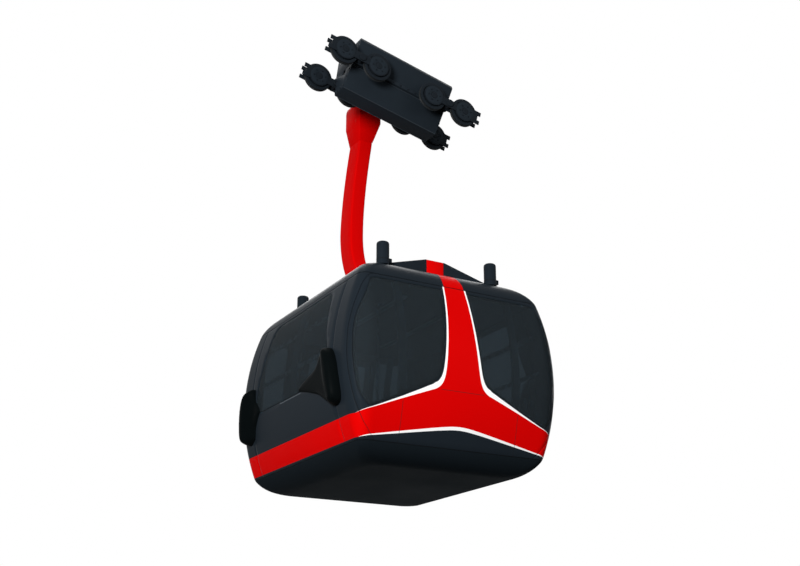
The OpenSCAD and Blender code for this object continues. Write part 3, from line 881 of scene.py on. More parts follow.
@dataclass
class Panel:
    """A sheet of the shell, cut to an outline, with a softly rounded rim all round.

    Attributes:
        face: Face that it lies on.
        outline: Its outline along the face.
        finish: Its main finish.
        holes: Outlines cut through it.
        zones: Patches with another finish; a later one lies over an earlier one.
        depth: How deep its outer face lies inside the skin.
        thickness: Its thickness.
        grid: Spacing of the points that follow the curve.
        rim: Width of the rounded rim.
        relief: Gives how far each point stands proud, from its place and its distance to the edge.
    """

    face: Face
    outline: Loop
    finish: Surface
    holes: list[Loop] = field(default_factory=list)
    zones: list[Zone] = field(default_factory=list)
    depth: float = 0.0
    thickness: float = 0.045
    grid: float = 0.07
    rim: float = 0.006
    relief: Callable[[np.ndarray, np.ndarray], np.ndarray] | None = None

    def build(self, frame: CabinFrame, into: Builder) -> None:
        """Adds the panel to a piece.

        Args:
            frame: The cabin's place and shell.
            into: The piece.
        """
        edges = [resampled(loop, self.grid) for loop in (self.outline, *self.holes)]
        soft = [inset(edges[0], self.rim), *[inset(h, -self.rim) for h in edges[1:]]]
        marks = [resampled(z.outline, self.grid) for z in self.zones]
        outer = np.array(edges[0])
        xs = np.arange(outer[:, 0].min(), outer[:, 0].max(), self.grid) + self.grid / 2
        zs = np.arange(outer[:, 1].min(), outer[:, 1].max(), self.grid) + self.grid / 2
        grid = np.array([(x, z) for x in xs for z in zs])
        clear = edge_distance(grid, [*edges, *soft, *marks]) > 0.42 * self.grid
        grid = grid[clear & inside(grid, edges[0])]
        points: list[Point2] = []
        links: list[tuple[int, int]] = []
        for loop in [*edges, *soft, *marks]:
            start = len(points)
            points += loop
            links += [(start + i, start + (i + 1) % len(loop)) for i in range(len(loop))]
        points += [tuple(p) for p in grid]
        flat, _, tris, *_ = delaunay_2d_cdt([Vector(p) for p in points], links, [], 0, 1e-6, False)
        flat = np.array([tuple(p) for p in flat])
        tris = np.array([t for t in tris if len(t) == 3])
        middle = flat[tris].mean(axis=1)
        keep = inside(middle, edges[0])
        for hole in edges[1:]:
            keep &= ~inside(middle, hole)
        a, b, c = (flat[tris[:, k]] for k in range(3))
        turn = (b[:, 0] - a[:, 0]) * (c[:, 1] - a[:, 1]) - (b[:, 1] - a[:, 1]) * (c[:, 0] - a[:, 0])
        keep &= np.abs(turn) > 1e-9
        tris = tris[keep]
        tris[turn[keep] < 0] = tris[turn[keep] < 0][:, ::-1]
        middle = middle[keep]
        to_edge = edge_distance(flat, edges)
        proud = np.zeros(len(flat)) if self.relief is None else self.relief(flat, to_edge)
        proud = proud - np.where(to_edge < 1e-5, 0.6 * self.rim, 0.0)
        front = frame.place(self.face, flat[:, 0], flat[:, 1], self.depth - proud)
        back = frame.place(self.face, flat[:, 0], flat[:, 1], self.depth + self.thickness)
        finishes = [self.finish, *[z.finish for z in self.zones]]
        number = np.zeros(len(tris), int)
        for k, zone in enumerate(self.zones, 1):
            number[inside(middle, zone.outline)] = k
        count = len(flat)
        seen: dict[tuple[int, int], tuple[int, int]] = {}
        for t in tris:
            for i, j in ((t[0], t[1]), (t[1], t[2]), (t[2], t[0])):
                key = (min(i, j), max(i, j))
                if key in seen:
                    seen.pop(key)
                else:
                    seen[key] = (i, j)
        sides = [(i, j, count + j, count + i) for i, j in seen.values()]
        verts = np.concatenate([front, back])
        used = sorted({int(v) for t in tris for v in t})
        renumber = {v: k for k, v in enumerate([*used, *[count + v for v in used]])}
        into.add(
            [verts[v] for v in renumber],
            [
                *[tuple(renumber[int(v)] for v in t) for t in tris],
                *[tuple(renumber[count + int(v)] for v in t[::-1]) for t in tris],
                *[tuple(renumber[int(v)] for v in q) for q in sides],
            ],
            self.finish,
        )
        faces = 2 * len(tris) + len(sides)
        indices = [into.index_of(f) for f in finishes]
        into.indices[-faces : -faces + len(tris)] = [indices[k] for k in number]


def ribbon(
    frame: CabinFrame, face: Face, path: Sequence[Point2], into: Builder, finish: Finish,
    width: float = 0.026, depth: float = 0.010, thickness: float = 0.010, closed: bool = False,
) -> None:
    """Lays a flat seal along a line of the shell, a little inside the skin.

    Args:
        frame: The cabin's place and shell.
        face: Face that it lies on.
        path: Points of its middle line along the face.
        into: The piece that gets it.
        finish: Its finish.
        width: Its width.
        depth: How deep its outer face lies.
        thickness: Its thickness.
        closed: Whether it joins up with its own start.
    """
    line = resampled(path, 0.06) if closed else split(path, 0.06)
    p = np.array(line)
    ahead = np.roll(p, -1, axis=0) - np.roll(p, 1, axis=0)
    if not closed:
        ahead[0], ahead[-1] = p[1] - p[0], p[-1] - p[-2]
    ahead /= np.maximum(np.linalg.norm(ahead, axis=1, keepdims=True), 1e-9)
    across = np.stack([-ahead[:, 1], ahead[:, 0]], axis=1) * width / 2
    one, two = p + across, p - across
    rows = [
        frame.place(face, one[:, 0], one[:, 1], depth),
        frame.place(face, two[:, 0], two[:, 1], depth),
        frame.place(face, two[:, 0], two[:, 1], depth + thickness),
        frame.place(face, one[:, 0], one[:, 1], depth + thickness),
    ]
    n = len(p)
    verts = np.concatenate(rows)
    faces = []
    for i in range(n if closed else n - 1):
        j = (i + 1) % n
        faces += [(r * n + i, r * n + j, (r + 1) % 4 * n + j, (r + 1) % 4 * n + i) for r in range(4)]
    if not closed:
        faces += [(0, n, 2 * n, 3 * n), (4 * n - 1, 3 * n - 1, 2 * n - 1, n - 1)]
    into.add(verts, faces, finish)


def mirrored(loop: Sequence[Point2]) -> Loop:
    """Returns an outline mirrored in its vertical axis."""
    return [(-x, z) for x, z in reversed(loop)]


@dataclass
class Livery:
    """The red and white pattern: a stem down the stem side that spreads into two arms and a belt.

    Each point of the upper border is (x, z, width of the white line over it).
    """

    upper: tuple[tuple[float, float, float], ...] = (
        (0.145, 1.80, 0.020),
        (0.168, 1.40, 0.022),
        (0.204, 0.95, 0.027),
        (0.240, 0.62, 0.036),
        (0.282, 0.47, 0.056),
        (0.355, 0.392, 0.070),
        (0.470, 0.345, 0.056),
        (0.800, 0.222, 0.026),
        (1.100, 0.107, 0.012),
        (1.395, 0.000, 0.0),
    )
    lower: tuple[tuple[float, float, float], ...] = (
        (0.0, -0.031, 0.040),
        (0.10, -0.036, 0.040),
        (0.22, -0.052, 0.038),
        (0.40, -0.082, 0.034),
        (0.81, -0.157, 0.024),
        (1.20, -0.230, 0.012),
        (1.395, -0.262, 0.0),
    )
    belt_top: float = 0.0
    belt_foot: float = -0.262

    def _border(self, rows: Sequence[tuple[float, float, float]], outwards: float) -> tuple[Loop, Loop]:
        """Returns a border's smooth line, and the far edge of the white line along it."""
        line = smooth_line([(x, z) for x, z, _ in rows], 6)
        widths = np.interp(np.linspace(0, len(rows) - 1, len(line)), range(len(rows)), [w for *_, w in rows])
        far = [beside(line, i, width * outwards) for i, width in enumerate(widths)]
        far[0] = (max(far[0][0], 0.0) if rows[0][0] == 0 else far[0][0], far[0][1])
        return line, far

    def borders(self) -> tuple[Loop, Loop, Loop, Loop]:
        """Returns the upper red edge, the upper white edge, the lower red edge and the lower white edge."""
        top, top_far = self._border(self.upper, 1.0)
        foot, foot_far = self._border(self.lower, -1.0)
        foot_far[0] = (0.0, foot_far[0][1])
        return top, top_far, foot, foot_far

    def side_zones(self) -> list[Zone]:
        """Returns the patches of the stem side's wall, in x and z."""
        top, top_far, foot, foot_far = self.borders()

        def whole(upper: Loop, lower: Loop) -> Loop:
            right = [*lower, *upper[::-1]]
            return [*right, *mirrored(right)]

        return [Zone(whole(top_far, foot_far), WHITE_FILM), Zone(whole(top, foot), RED_PAINT)]

    def corner_zones(self, end: float, with_arms: bool) -> list[Zone]:
        """Returns the patches of a corner, in s and z.

        Args:
            end: Where the corner's panel ends along s.
            with_arms: Whether the stem side's arms run on over this corner.
        """
        belt = block(1.1, end + 0.02, self.belt_foot, 0.0)
        if not with_arms:
            return [Zone(belt, RED_PAINT)]
        top, top_far, foot, foot_far = self.borders()
        tail = [(end + 0.02, self.belt_foot), (end + 0.02, self.belt_top)]

        def tip(upper: Loop, lower: Loop) -> Loop:
            low = [p for p in lower if p[0] > 1.05]
            high = [p for p in upper if p[0] > 1.05]
            return [*low, *tail, *high[::-1]]

        return [Zone(tip(top_far, foot_far), WHITE_FILM), Zone(tip(top, foot), RED_PAINT)]

    def window_edge(self, gap: float, low: float, high: float) -> Loop:
        """Returns the line that the side window keeps to beside the stem and over the arm.

        Args:
            gap: Distance from the white line.
            low: Largest x.
            high: Largest z.
        """
        _, top_far, *_ = self.borders()
        pushed = [beside(top_far, i, gap) for i in range(len(top_far))]
        return [p for p in pushed if p[0] < low and p[1] < high]


@dataclass
class CabinShell:
    """Walls, corners, panes, roof and tub of the cabin."""

    frame: CabinFrame
    livery: Livery = field(default_factory=Livery)
    wall: float = 0.045
    pane: float = 0.008
    pane_depth: float = 0.004
    seam: float = 0.007
    rim: float = 0.035
    window_top: float = 1.710
    end_sill: float = 0.520
    leaf_half: float = 0.525
    seam_points: tuple[Point2, ...] = (
        (1.110, -0.290), (1.206, -0.190), (1.292, -0.098), (1.352, 0.036), (1.393, 0.180), (1.417, 0.350),
        (1.437, 0.524), (1.447, 0.702), (1.449, 0.880), (1.447, 1.038), (1.431, 1.198), (1.407, 1.348),
        (1.370, 1.492), (1.332, 1.604), (1.258, 1.690), (1.150, 1.760),
    )
    pane_points: tuple[Point2, ...] = (
        (1.345, 0.250), (1.375, 0.450), (1.392, 0.660), (1.398, 0.890), (1.392, 1.080), (1.365, 1.240),
        (1.322, 1.380), (1.265, 1.530), (1.220, 1.640), (1.165, 1.697), (1.090, 1.710),
    )
    end_pane_points: tuple[Point2, ...] = (
        (1.100, 0.520), (1.095, 0.700), (1.055, 0.914), (0.985, 1.150), (0.940, 1.400), (0.900, 1.580),
        (0.850, 1.675), (0.760, 1.710),
    )

    def seam_line(self, gap: float) -> Loop:
        """Returns the seam between a side and its corner, from its foot up: it bulges round the corner.

        Args:
            gap: How far the line lies beyond the seam, towards the end.
        """
        line = smooth_line([(s + gap, z) for s, z in self.seam_points], 4)
        foot, head = -self.frame.shell.seam_drop, self.frame.shell.shoulder_z
        return [(line[0][0], foot + self.seam / 2), *line[1:-1], (line[-1][0], head - self.seam / 2)]

    def side_windows(self) -> list[Loop]:
        """Returns the stem side's two windows, in x and z: each runs on round its corner."""
        top = self.window_top
        line = self.livery.window_edge(0.014, 1.25, top)
        outer = smooth_line([(line[-1][0] + 0.045, line[-1][1] - 0.002), *self.pane_points], 4)
        right = [(line[0][0] - 0.002, top), *line, *outer]
        return [right, mirrored(right)]

    def door_side_windows(self) -> list[Loop]:
        """Returns the two windows beside the doorway."""
        edge, near = self.frame.shell.side_half - self.rim, self.leaf_half + 0.06
        low, top = self.end_sill - 0.10, self.window_top - 0.02
        right = rounded(block(near, edge, low, top), 0.07)
        return [right, mirrored(right)]

    def end_window(self) -> Loop:
        """Returns the wide window of an end, whose upper corners are swept round."""
        right = smooth_line(self.end_pane_points, 4)
        return [*right, *mirrored(right)]

    def _glass(self, face: Face, windows: Sequence[Loop], into: Builder, seals: Builder) -> None:
        """Adds the panes of a face and the seals round them."""
        for window in windows:
            pane = inset(window, 0.004)
            Panel(
                face, pane, GLASS, depth=self.pane_depth, thickness=self.pane, grid=0.05, rim=0.002
            ).build(self.frame, into)
            ribbon(
                self.frame, face, inset(window, 0.010), seals, SEAL_RUBBER,
                width=0.030, depth=self.pane_depth + self.pane + 0.001, thickness=0.012, closed=True,
            )

    def walls(self) -> None:
        """Makes the four walls, their panes, and the seals of all seams."""
        shell = self.frame.shell
        low, high = -shell.seam_drop + self.seam / 2, shell.shoulder_z - self.seam / 2
        half = shell.side_half - self.seam / 2
        seals = Builder("shell_seals", "cabin", Slot.SHELL)
        side = Builder("stem_side_wall", "cabin", Slot.SHELL, "side_wall")
        windows = self.side_windows()
        outline = self.seam_line(-self.seam / 2)
        outline = [*outline, *mirrored(outline)]
        joints = [
            Zone(block(-0.30, 0.30, 0.378, 0.383), SEAL_RUBBER),
            *[Zone(block(x, x + 0.005, low - 0.01, 0.19), SEAL_RUBBER) for x in (-0.8125, 0.8075)],
        ]
        Panel(
            Face.SIDE, outline, ANTHRACITE_PAINT, windows, [*self.livery.side_zones(), *joints],
            thickness=self.wall, grid=0.045,
        ).build(self.frame, side)
        side.finish(angle=40)
        panes = Builder("stem_side_panes", "cabin", Slot.GLASS, "side_glass")
        self._glass(Face.SIDE, windows, panes, seals)
        panes.finish(angle=40)

        door_wall = Builder("door_side_panels", "cabin", Slot.SHELL, "door_side_wall")
        top = 1.66
        doorway = block(-self.leaf_half, self.leaf_half, low - 0.05, top)
        belt = block(-half - 0.01, half + 0.01, -0.262, 0.0)
        round_doorway = [(-half, low), (-self.leaf_half, low), (-self.leaf_half, top), (self.leaf_half, top),
                         (self.leaf_half, low), (half, low), (half, high), (-half, high)]
        door_windows = self.door_side_windows()
        Panel(
            Face.DOOR_SIDE, round_doorway, ANTHRACITE_PAINT, door_windows, [Zone(belt, RED_PAINT)],
            thickness=self.wall,
        ).build(self.frame, door_wall)
        door_wall.finish(angle=40)
        panes = Builder("door_side_panes", "cabin", Slot.GLASS, "door_side_glass")
        self._glass(Face.DOOR_SIDE, door_windows, panes, seals)
        panes.finish(angle=40)
        ribbon(
            self.frame, Face.DOOR_SIDE, inset(doorway, -0.012), seals, SEAL_RUBBER,
            width=0.03, depth=-0.002, thickness=0.02, closed=True,
        )

        panes = Builder("end_panes", "cabin", Slot.GLASS, "end_glass")
        end = shell.end_half - self.seam / 2
        for face, name in ((Face.FRONT, "end_wall_front"), (Face.REAR, "end_wall_rear")):
            wall = Builder(f"{name}_skin", "cabin", Slot.SHELL, name)
            outline = block(-end, end, low, high)
            belt = block(-end - 0.01, end + 0.01, -0.262, 0.0)
            window = self.end_window()
            sill = block(-0.32, 0.32, 0.500, 0.506)
            Panel(
                face, outline, ANTHRACITE_PAINT, [window], [Zone(belt, RED_PAINT), Zone(sill, ANODISED)],
                thickness=self.wall,
            ).build(self.frame, wall)
            wall.finish(angle=40)
            self._glass(face, [window], panes, seals)
        panes.finish(angle=40)
        self._corners(seals, low, high)
        seals.finish(angle=60)

    def _corners(self, seals: Builder, low: float, high: float) -> None:
        """Makes the four corner pillars and the seals between them and the walls."""
        shell = self.frame.shell
        pillars = Builder("corner_pillar_skins", "cabin", Slot.SHELL, "corner_pillars")
        start, end = shell.side_half + self.seam / 2, shell.end_seam - self.seam / 2
        for face in (Face.SIDE_FRONT, Face.SIDE_REAR, Face.DOOR_FRONT, Face.DOOR_REAR):
            on_stem_side = face.value[1] < 0
            zones = self.livery.corner_zones(shell.end_seam, on_stem_side)
            border = self.seam_line(self.seam / 2) if on_stem_side else [(start, low), (start, high)]
            outline = [(end, low), (end, high), *border[::-1]]
            Panel(face, outline, ANTHRACITE_PAINT, [], zones, thickness=self.wall, grid=0.035).build(
                self.frame, pillars
            )
            straight = [(shell.side_half, low), (shell.side_half, high)]
            for path in (
                *([(0.0, z), (shell.quarter, z)] for z in (-shell.seam_drop, shell.shoulder_z)),
                [(shell.end_seam, low), (shell.end_seam, high)],
                self.seam_line(0.0) if on_stem_side else straight,
            ):
                ribbon(self.frame, face, path, seals, SEAL_RUBBER)
        pillars.finish(angle=40)

    def _rings(self, heights: Sequence[float], extra: Sequence[float]) -> tuple[np.ndarray, int]:
        """Returns points of whole rings round the shell, and the number of points in a ring.

        Args:
            heights: Height of each ring.
            extra: Places along s that a ring must have a point at.
        """
        shell = self.frame.shell
        side = [*np.linspace(0, shell.side_half, 9)[1:], *extra]
        arc = np.linspace(shell.side_half, shell.side_half + shell.arc, 13)[1:]
        end = np.linspace(shell.side_half + shell.arc, shell.quarter, 11)[1:]
        s = np.array(sorted({0.0, *side, *arc, *end}))
        turns = [(1, 1, s), (1, -1, s[::-1][1:]), (-1, -1, s[1:]), (-1, 1, s[::-1][1:-1])]
        rows = []
        for z in heights:
            row = [shell.at(q, np.full(len(q), z), 0.0) * [sx, sy, 1] for sx, sy, q in turns]
            rows.append(np.concatenate(row) + [self.frame.middle_x, 0, self.frame.belt_z])
        return np.array(rows), sum(len(q) for *_, q in turns)

    def roof(self) -> None:
        """Makes the roof: its shoulder turns from the walls to a flat top, and the stem runs over it."""
        shell = self.frame.shell
        top = math.asin((shell.shoulder_z - shell.bulge_z) / shell.bulge_r)
        radius = (shell.roof_rise - shell.shoulder_z) / (1 - math.sin(top))
        turns = np.linspace(top, math.pi / 2, 15)
        heights = [shell.roof_rise - radius * (1 - math.sin(a)) for a in turns]
        heights[0] = shell.shoulder_z + self.seam / 2
        stem = 0.146
        rows, n = self._rings(heights, [stem])
        roof = Builder("roof_skin", "cabin", Slot.SHELL, "roof_panel")
        middle = self.frame.middle_x
        for j in range(len(heights) - 1):
            for i in range(n):
                k = (i + 1) % n
                quad = [rows[j][i], rows[j][k], rows[j + 1][k], rows[j + 1][i]]
                x = sum(p[0] for p in quad) / 4 - middle
                on_stem = abs(x) < stem * 0.99 and abs(quad[0][1]) > 1.0
                finish = RED_PAINT if on_stem else ANTHRACITE_PAINT
                roof.add(quad, [(0, 1, 2, 3)], finish)
        crown = rows[-1]
        roof.add([*crown], [tuple(range(n))], ANTHRACITE_PAINT)
        under = [*rows[0] + np.array([0, 0, -0.002])]
        inner = [Vector((middle + (p[0] - middle) * 0.93, p[1] * 0.94, p[2])) for p in under]
        lid = [Vector((q.x, q.y, q.z + 0.03)) for q in inner]
        faces = [(i, (i + 1) % n, n + (i + 1) % n, n + i) for i in range(n)]
        faces += [(n + i, n + (i + 1) % n, 2 * n + (i + 1) % n, 2 * n + i) for i in range(n)]
        roof.add([*under, *inner, *lid], [*faces, tuple(2 * n + i for i in range(n))], TRIM_PLASTIC)
        roof.finish(angle=40, merge=True)

    def tub(self) -> None:
        """Makes the tub under the cabin, from the hem's seam round to the flat underside."""
        shell = self.frame.shell
        hem = math.asin((shell.bulge_z + shell.hem_drop) / shell.bulge_r)
        radius = (shell.floor_drop - shell.hem_drop) / (1 - math.sin(hem))
        heights = [-shell.floor_drop + radius * (1 - math.sin(a)) for a in np.linspace(hem, math.pi / 2, 15)]
        heights = [-shell.seam_drop - self.seam / 2, *[z for z in heights if z < -shell.seam_drop - 0.012]]
        rows, n = self._rings(heights, [])
        tub = Builder("tub_skin", "cabin", Slot.SHELL, "underbody")
        verts = [p for row in rows for p in row]
        faces = [
            (j * n + i, j * n + (i + 1) % n, (j + 1) * n + (i + 1) % n, (j + 1) * n + i)
            for j in range(len(heights) - 1)
            for i in range(n)
        ]
        foot = (len(heights) - 1) * n
        faces.append(tuple(foot + i for i in range(n)))
        middle = self.frame.middle_x
        inner = [np.array([middle + (p[0] - middle) * 0.965, p[1] * 0.97, p[2]]) for p in rows[0]]
        base = len(verts)
        faces += [(i, (i + 1) % n, base + (i + 1) % n, base + i) for i in range(n)]
        deck = [p - np.array([0, 0, 0.04]) for p in inner]
        faces += [(base + i, base + (i + 1) % n, base + n + (i + 1) % n, base + n + i) for i in range(n)]
        faces.append(tuple(base + n + i for i in range(n)))
        tub.add([*verts, *inner, *deck], faces, TUB_COAT)
        tub.finish(angle=40, merge=True)


# ---------- what repeats ----------


class PatternTree:
    """A small Geometry Nodes tree with named inputs, whose result is baked to a plain mesh."""

    def __init__(self, name: str, sizes: dict[str, str]) -> None:
        """Starts a tree.

        Args:
            name: Name of the tree.
            sizes: Name of each input to its socket type.
        """
        self.tree = bpy.data.node_groups.new(name, "GeometryNodeTree")
        face = self.tree.interface
        face.new_socket("Geometry", in_out="OUTPUT", socket_type="NodeSocketGeometry")
        face.new_socket("Geometry", in_out="INPUT", socket_type="NodeSocketGeometry")
        for size, kind in {**sizes, "Material": "NodeSocketMaterial"}.items():
            face.new_socket(size, in_out="INPUT", socket_type=kind)
        self.inputs = add(self.tree, "NodeGroupInput").outputs

    def close(self, instances: bpy.types.NodeSocket) -> None:
        """Ends the tree in Realize Instances and Set Material.

        Args:
            instances: The socket that carries the instances.
        """
        real = add(self.tree, "GeometryNodeRealizeInstances", {"Geometry": instances})
        dressed = add(
            self.tree,
            "GeometryNodeSetMaterial",
            {"Geometry": real.outputs["Geometry"], "Material": self.inputs["Material"]},
        )
        add(self.tree, "NodeGroupOutput", {"Geometry": dressed.outputs["Geometry"]})

    def piece(
        self, name: str, body: str, slot: Slot, points: bpy.types.Mesh, values: dict
    ) -> bpy.types.Object:
        """Runs the tree on a mesh of points and makes a piece of the result.

        Args:
            name: Name of the piece.
            body: Body that it rides on.
            slot: The record's slot for its finish; not used.
            points: Mesh whose points the tree starts from.
            values: Value of each named input.

        Returns:
            The finished piece.
        """
        obj = bpy.data.objects.new(name, points)
        bpy.context.scene.collection.objects.link(obj)
        modifier = obj.modifiers.new("pattern", "NODES")
        modifier.node_group = self.tree
        sockets = {s.name: s.identifier for s in self.tree.interface.items_tree if s.in_out == "INPUT"}
        for key, value in values.items():
            modifier[sockets[key]] = value
        baked(obj)
        return handed_over(obj, body, (), 35.0)


def bolt_tree() -> PatternTree:
    """Builds the tree that sets a washer and a hexagon head square on every point."""
    made = PatternTree(
        "bolts", {size: "NodeSocketFloat" for size in ("Head Radius", "Head Height", "Washer")}
    )
    tree, inputs = made.tree, made.inputs
    facing = add(tree, "GeometryNodeInputNamedAttribute", {"Name": "facing"}, data_type="FLOAT_VECTOR")
    aimed = add(tree, "FunctionNodeAlignRotationToVector", {"Vector": facing.outputs["Attribute"]}, axis="Z")
    turn = add(tree, "FunctionNodeRandomValue", {2: 0.0, 3: 1.05, "Seed": 11}, data_type="FLOAT")
    spun = add(tree, "FunctionNodeAxisAngleToRotation", {"Axis": (0, 0, 1), "Angle": turn.outputs[1]})
    rotation = add(
        tree,
        "FunctionNodeRotateRotation",
        {"Rotation": aimed.outputs["Rotation"], "Rotate By": spun.outputs["Rotation"]},
        rotation_space="LOCAL",
    )
    head = add(
        tree,
        "GeometryNodeMeshCone",
        {
            "Vertices": 6,
            "Radius Bottom": inputs["Head Radius"],
            "Radius Top": add(
                tree, "ShaderNodeMath", {0: inputs["Head Radius"], 1: 0.9}, operation="MULTIPLY"
            ).outputs[0],
            "Depth": inputs["Head Height"],
        },
    )
    wide = add(tree, "ShaderNodeMath", {0: inputs["Head Radius"], 1: 1.45}, operation="MULTIPLY")
    washer = add(
        tree,
        "GeometryNodeMeshCone",
        {
            "Vertices": 16,
            "Radius Bottom": wide.outputs[0],
            "Radius Top": wide.outputs[0],
            "Depth": inputs["Washer"],
        },
    )
    raised = add(tree, "ShaderNodeCombineXYZ", {"Z": inputs["Washer"]})
    lifted = add(
        tree,
        "GeometryNodeTransform",
        {"Geometry": head.outputs["Mesh"], "Translation": raised.outputs["Vector"]},
    )
    both = add(tree, "GeometryNodeJoinGeometry")
    tree.links.new(lifted.outputs["Geometry"], both.inputs["Geometry"])
    tree.links.new(washer.outputs["Mesh"], both.inputs["Geometry"])
    placed = add(
        tree,
        "GeometryNodeInstanceOnPoints",
        {
            "Points": inputs["Geometry"],
            "Instance": both.outputs["Geometry"],
            "Rotation": rotation.outputs["Rotation"],
        },
    )
    made.close(placed.outputs["Instances"])
    return made


def stud_tree() -> PatternTree:
    """Builds the tree that sets a low round stud on every point."""
    made = PatternTree("studs", {"Radius": "NodeSocketFloat", "Height": "NodeSocketFloat"})
    tree, inputs = made.tree, made.inputs
    top = add(tree, "ShaderNodeMath", {0: inputs["Radius"], 1: 0.7}, operation="MULTIPLY")
    stud = add(
        tree,
        "GeometryNodeMeshCone",
        {
            "Vertices": 10,
            "Radius Bottom": inputs["Radius"],
            "Radius Top": top.outputs[0],
            "Depth": inputs["Height"],
        },
    )
    placed = add(
        tree, "GeometryNodeInstanceOnPoints", {"Points": inputs["Geometry"], "Instance": stud.outputs["Mesh"]}
    )
    made.close(placed.outputs["Instances"])
    return made


def point_mesh(name: str, places: Iterable, facing: Iterable | None = None) -> bpy.types.Mesh:
    """Makes a mesh of loose points, each with the way that it faces.

    Args:
        name: Name of the mesh.
        places: Points in the row frame.
        facing: Direction at each point.

    Returns:
        The mesh.
    """
    places = [tuple(p) for p in places]
    mesh = bpy.data.meshes.new(name)
    mesh.from_pydata(places, [], [])
    if facing is not None:
        attribute = mesh.attributes.new("facing", "FLOAT_VECTOR", "POINT")
        attribute.data.foreach_set("vector", np.array([tuple(f) for f in facing], np.float32).ravel())
    return mesh


def circle_places(place: Matrix, radius: float, count: int, start: float = 0.0) -> tuple[list, list]:
    """Returns points round a circle in a place's XY plane, and its Z direction at each.

    Args:
        place: The circle's place.
        radius: Its radius.
        count: Number of points.
        start: Angle of the first, in degrees.
    """
    turns = [math.radians(start + 360 * k / count) for k in range(count)]
    points = [place @ Vector((radius * math.cos(a), radius * math.sin(a), 0)) for a in turns]
    facing = place.to_3x3() @ Vector((0, 0, 1))
    return points, [facing] * count


@dataclass
class Patterns:
    """The trees, built once."""

    bolts: PatternTree = field(default_factory=bolt_tree)
    studs: PatternTree = field(default_factory=stud_tree)

    def bolt_piece(
        self, name: str, body: str, slot: Slot, spots: tuple[list, list], radius: float,
        finish: Finish = BARE_STEEL,
    ) -> bpy.types.Object:
        """Makes a piece of bolts.

        Args:
            name: Name of the piece.
            body: Body that it rides on.
            slot: The record's slot for its finish; not used.
            spots: Points, and the way that each faces.
            radius: Radius of a bolt's head over its corners.
            finish: Finish of the bolts.

        Returns:
            The finished piece.
        """
        values = {"Head Radius": radius, "Head Height": 0.7 * radius, "Washer": 0.25 * radius}
        values["Material"] = finish.material()
        return self.bolts.piece(name, body, slot, point_mesh(name, *spots), values)


# ---------- the roof's beam, fairings and posts ----------


@dataclass
class RoofGear:
    """The beam that carries the cabin, its fairings, and the four guide posts."""

    frame: CabinFrame
    patterns: Patterns
    post_radius: float = 0.0825
    post_x: float = 0.810
    post_y: float = 1.200
    post_height: float = 0.310

    def build(self) -> None:
        """Makes the beam, the fairings and the posts."""
        softened("roof_beam", "roof_beam_cover", "cabin", RED_PAINT, 0.014)
        softened("roof_fairings", "roof_fairing_covers", "cabin", ANTHRACITE_PAINT, 0.006)
        rise = self.frame.shell.roof_rise
        posts = Builder("guide_posts", "cabin", Slot.SHELL, "roof_posts")
        spots: tuple[list, list] = ([], [])
        for sx in (-1, 1):
            for sy in (-1, 1):
                place = self.frame.matrix(sx * self.post_x, sy * self.post_y, rise)
                r, h = self.post_radius, self.post_height
                profile = [
                    (0, 0), (r, 0.0), (r, h - 0.045), (r, h - 0.030), (r - 0.004, h - 0.014),
                    (r - 0.014, h - 0.004), (r - 0.026, h), (0.030, h), (0.026, h - 0.006), (0, h - 0.006),
                ]
                posts.lathe(place, profile, ANTHRACITE_PAINT, 40)
                groove = [(r, 0.066), (r + 0.001, 0.067), (r + 0.001, 0.073), (r, 0.074)]
                posts.lathe(place, groove, SEAL_RUBBER, 40)
                tab = [
                    (0.0, -0.028), (0.040, -0.028), (0.052, -0.018),
                    (0.052, 0.018), (0.040, 0.028), (0.0, 0.028),
                ]
                beside = place @ Matrix.Translation((r - 0.012, 0, 0.04))
                posts.prism(beside, tab, 0.0, 0.055, ANTHRACITE_PAINT)
                around = circle_places(place @ Matrix.Translation((0, 0, h - 0.001)), 0.045, 3, 30)
                spots[0].extend(around[0])
                spots[1].extend(around[1])
        posts.finish(angle=40)
        self.patterns.bolt_piece("guide_post_screws", "cabin", Slot.SHELL, spots, 0.006)


# ---------- bumpers ----------


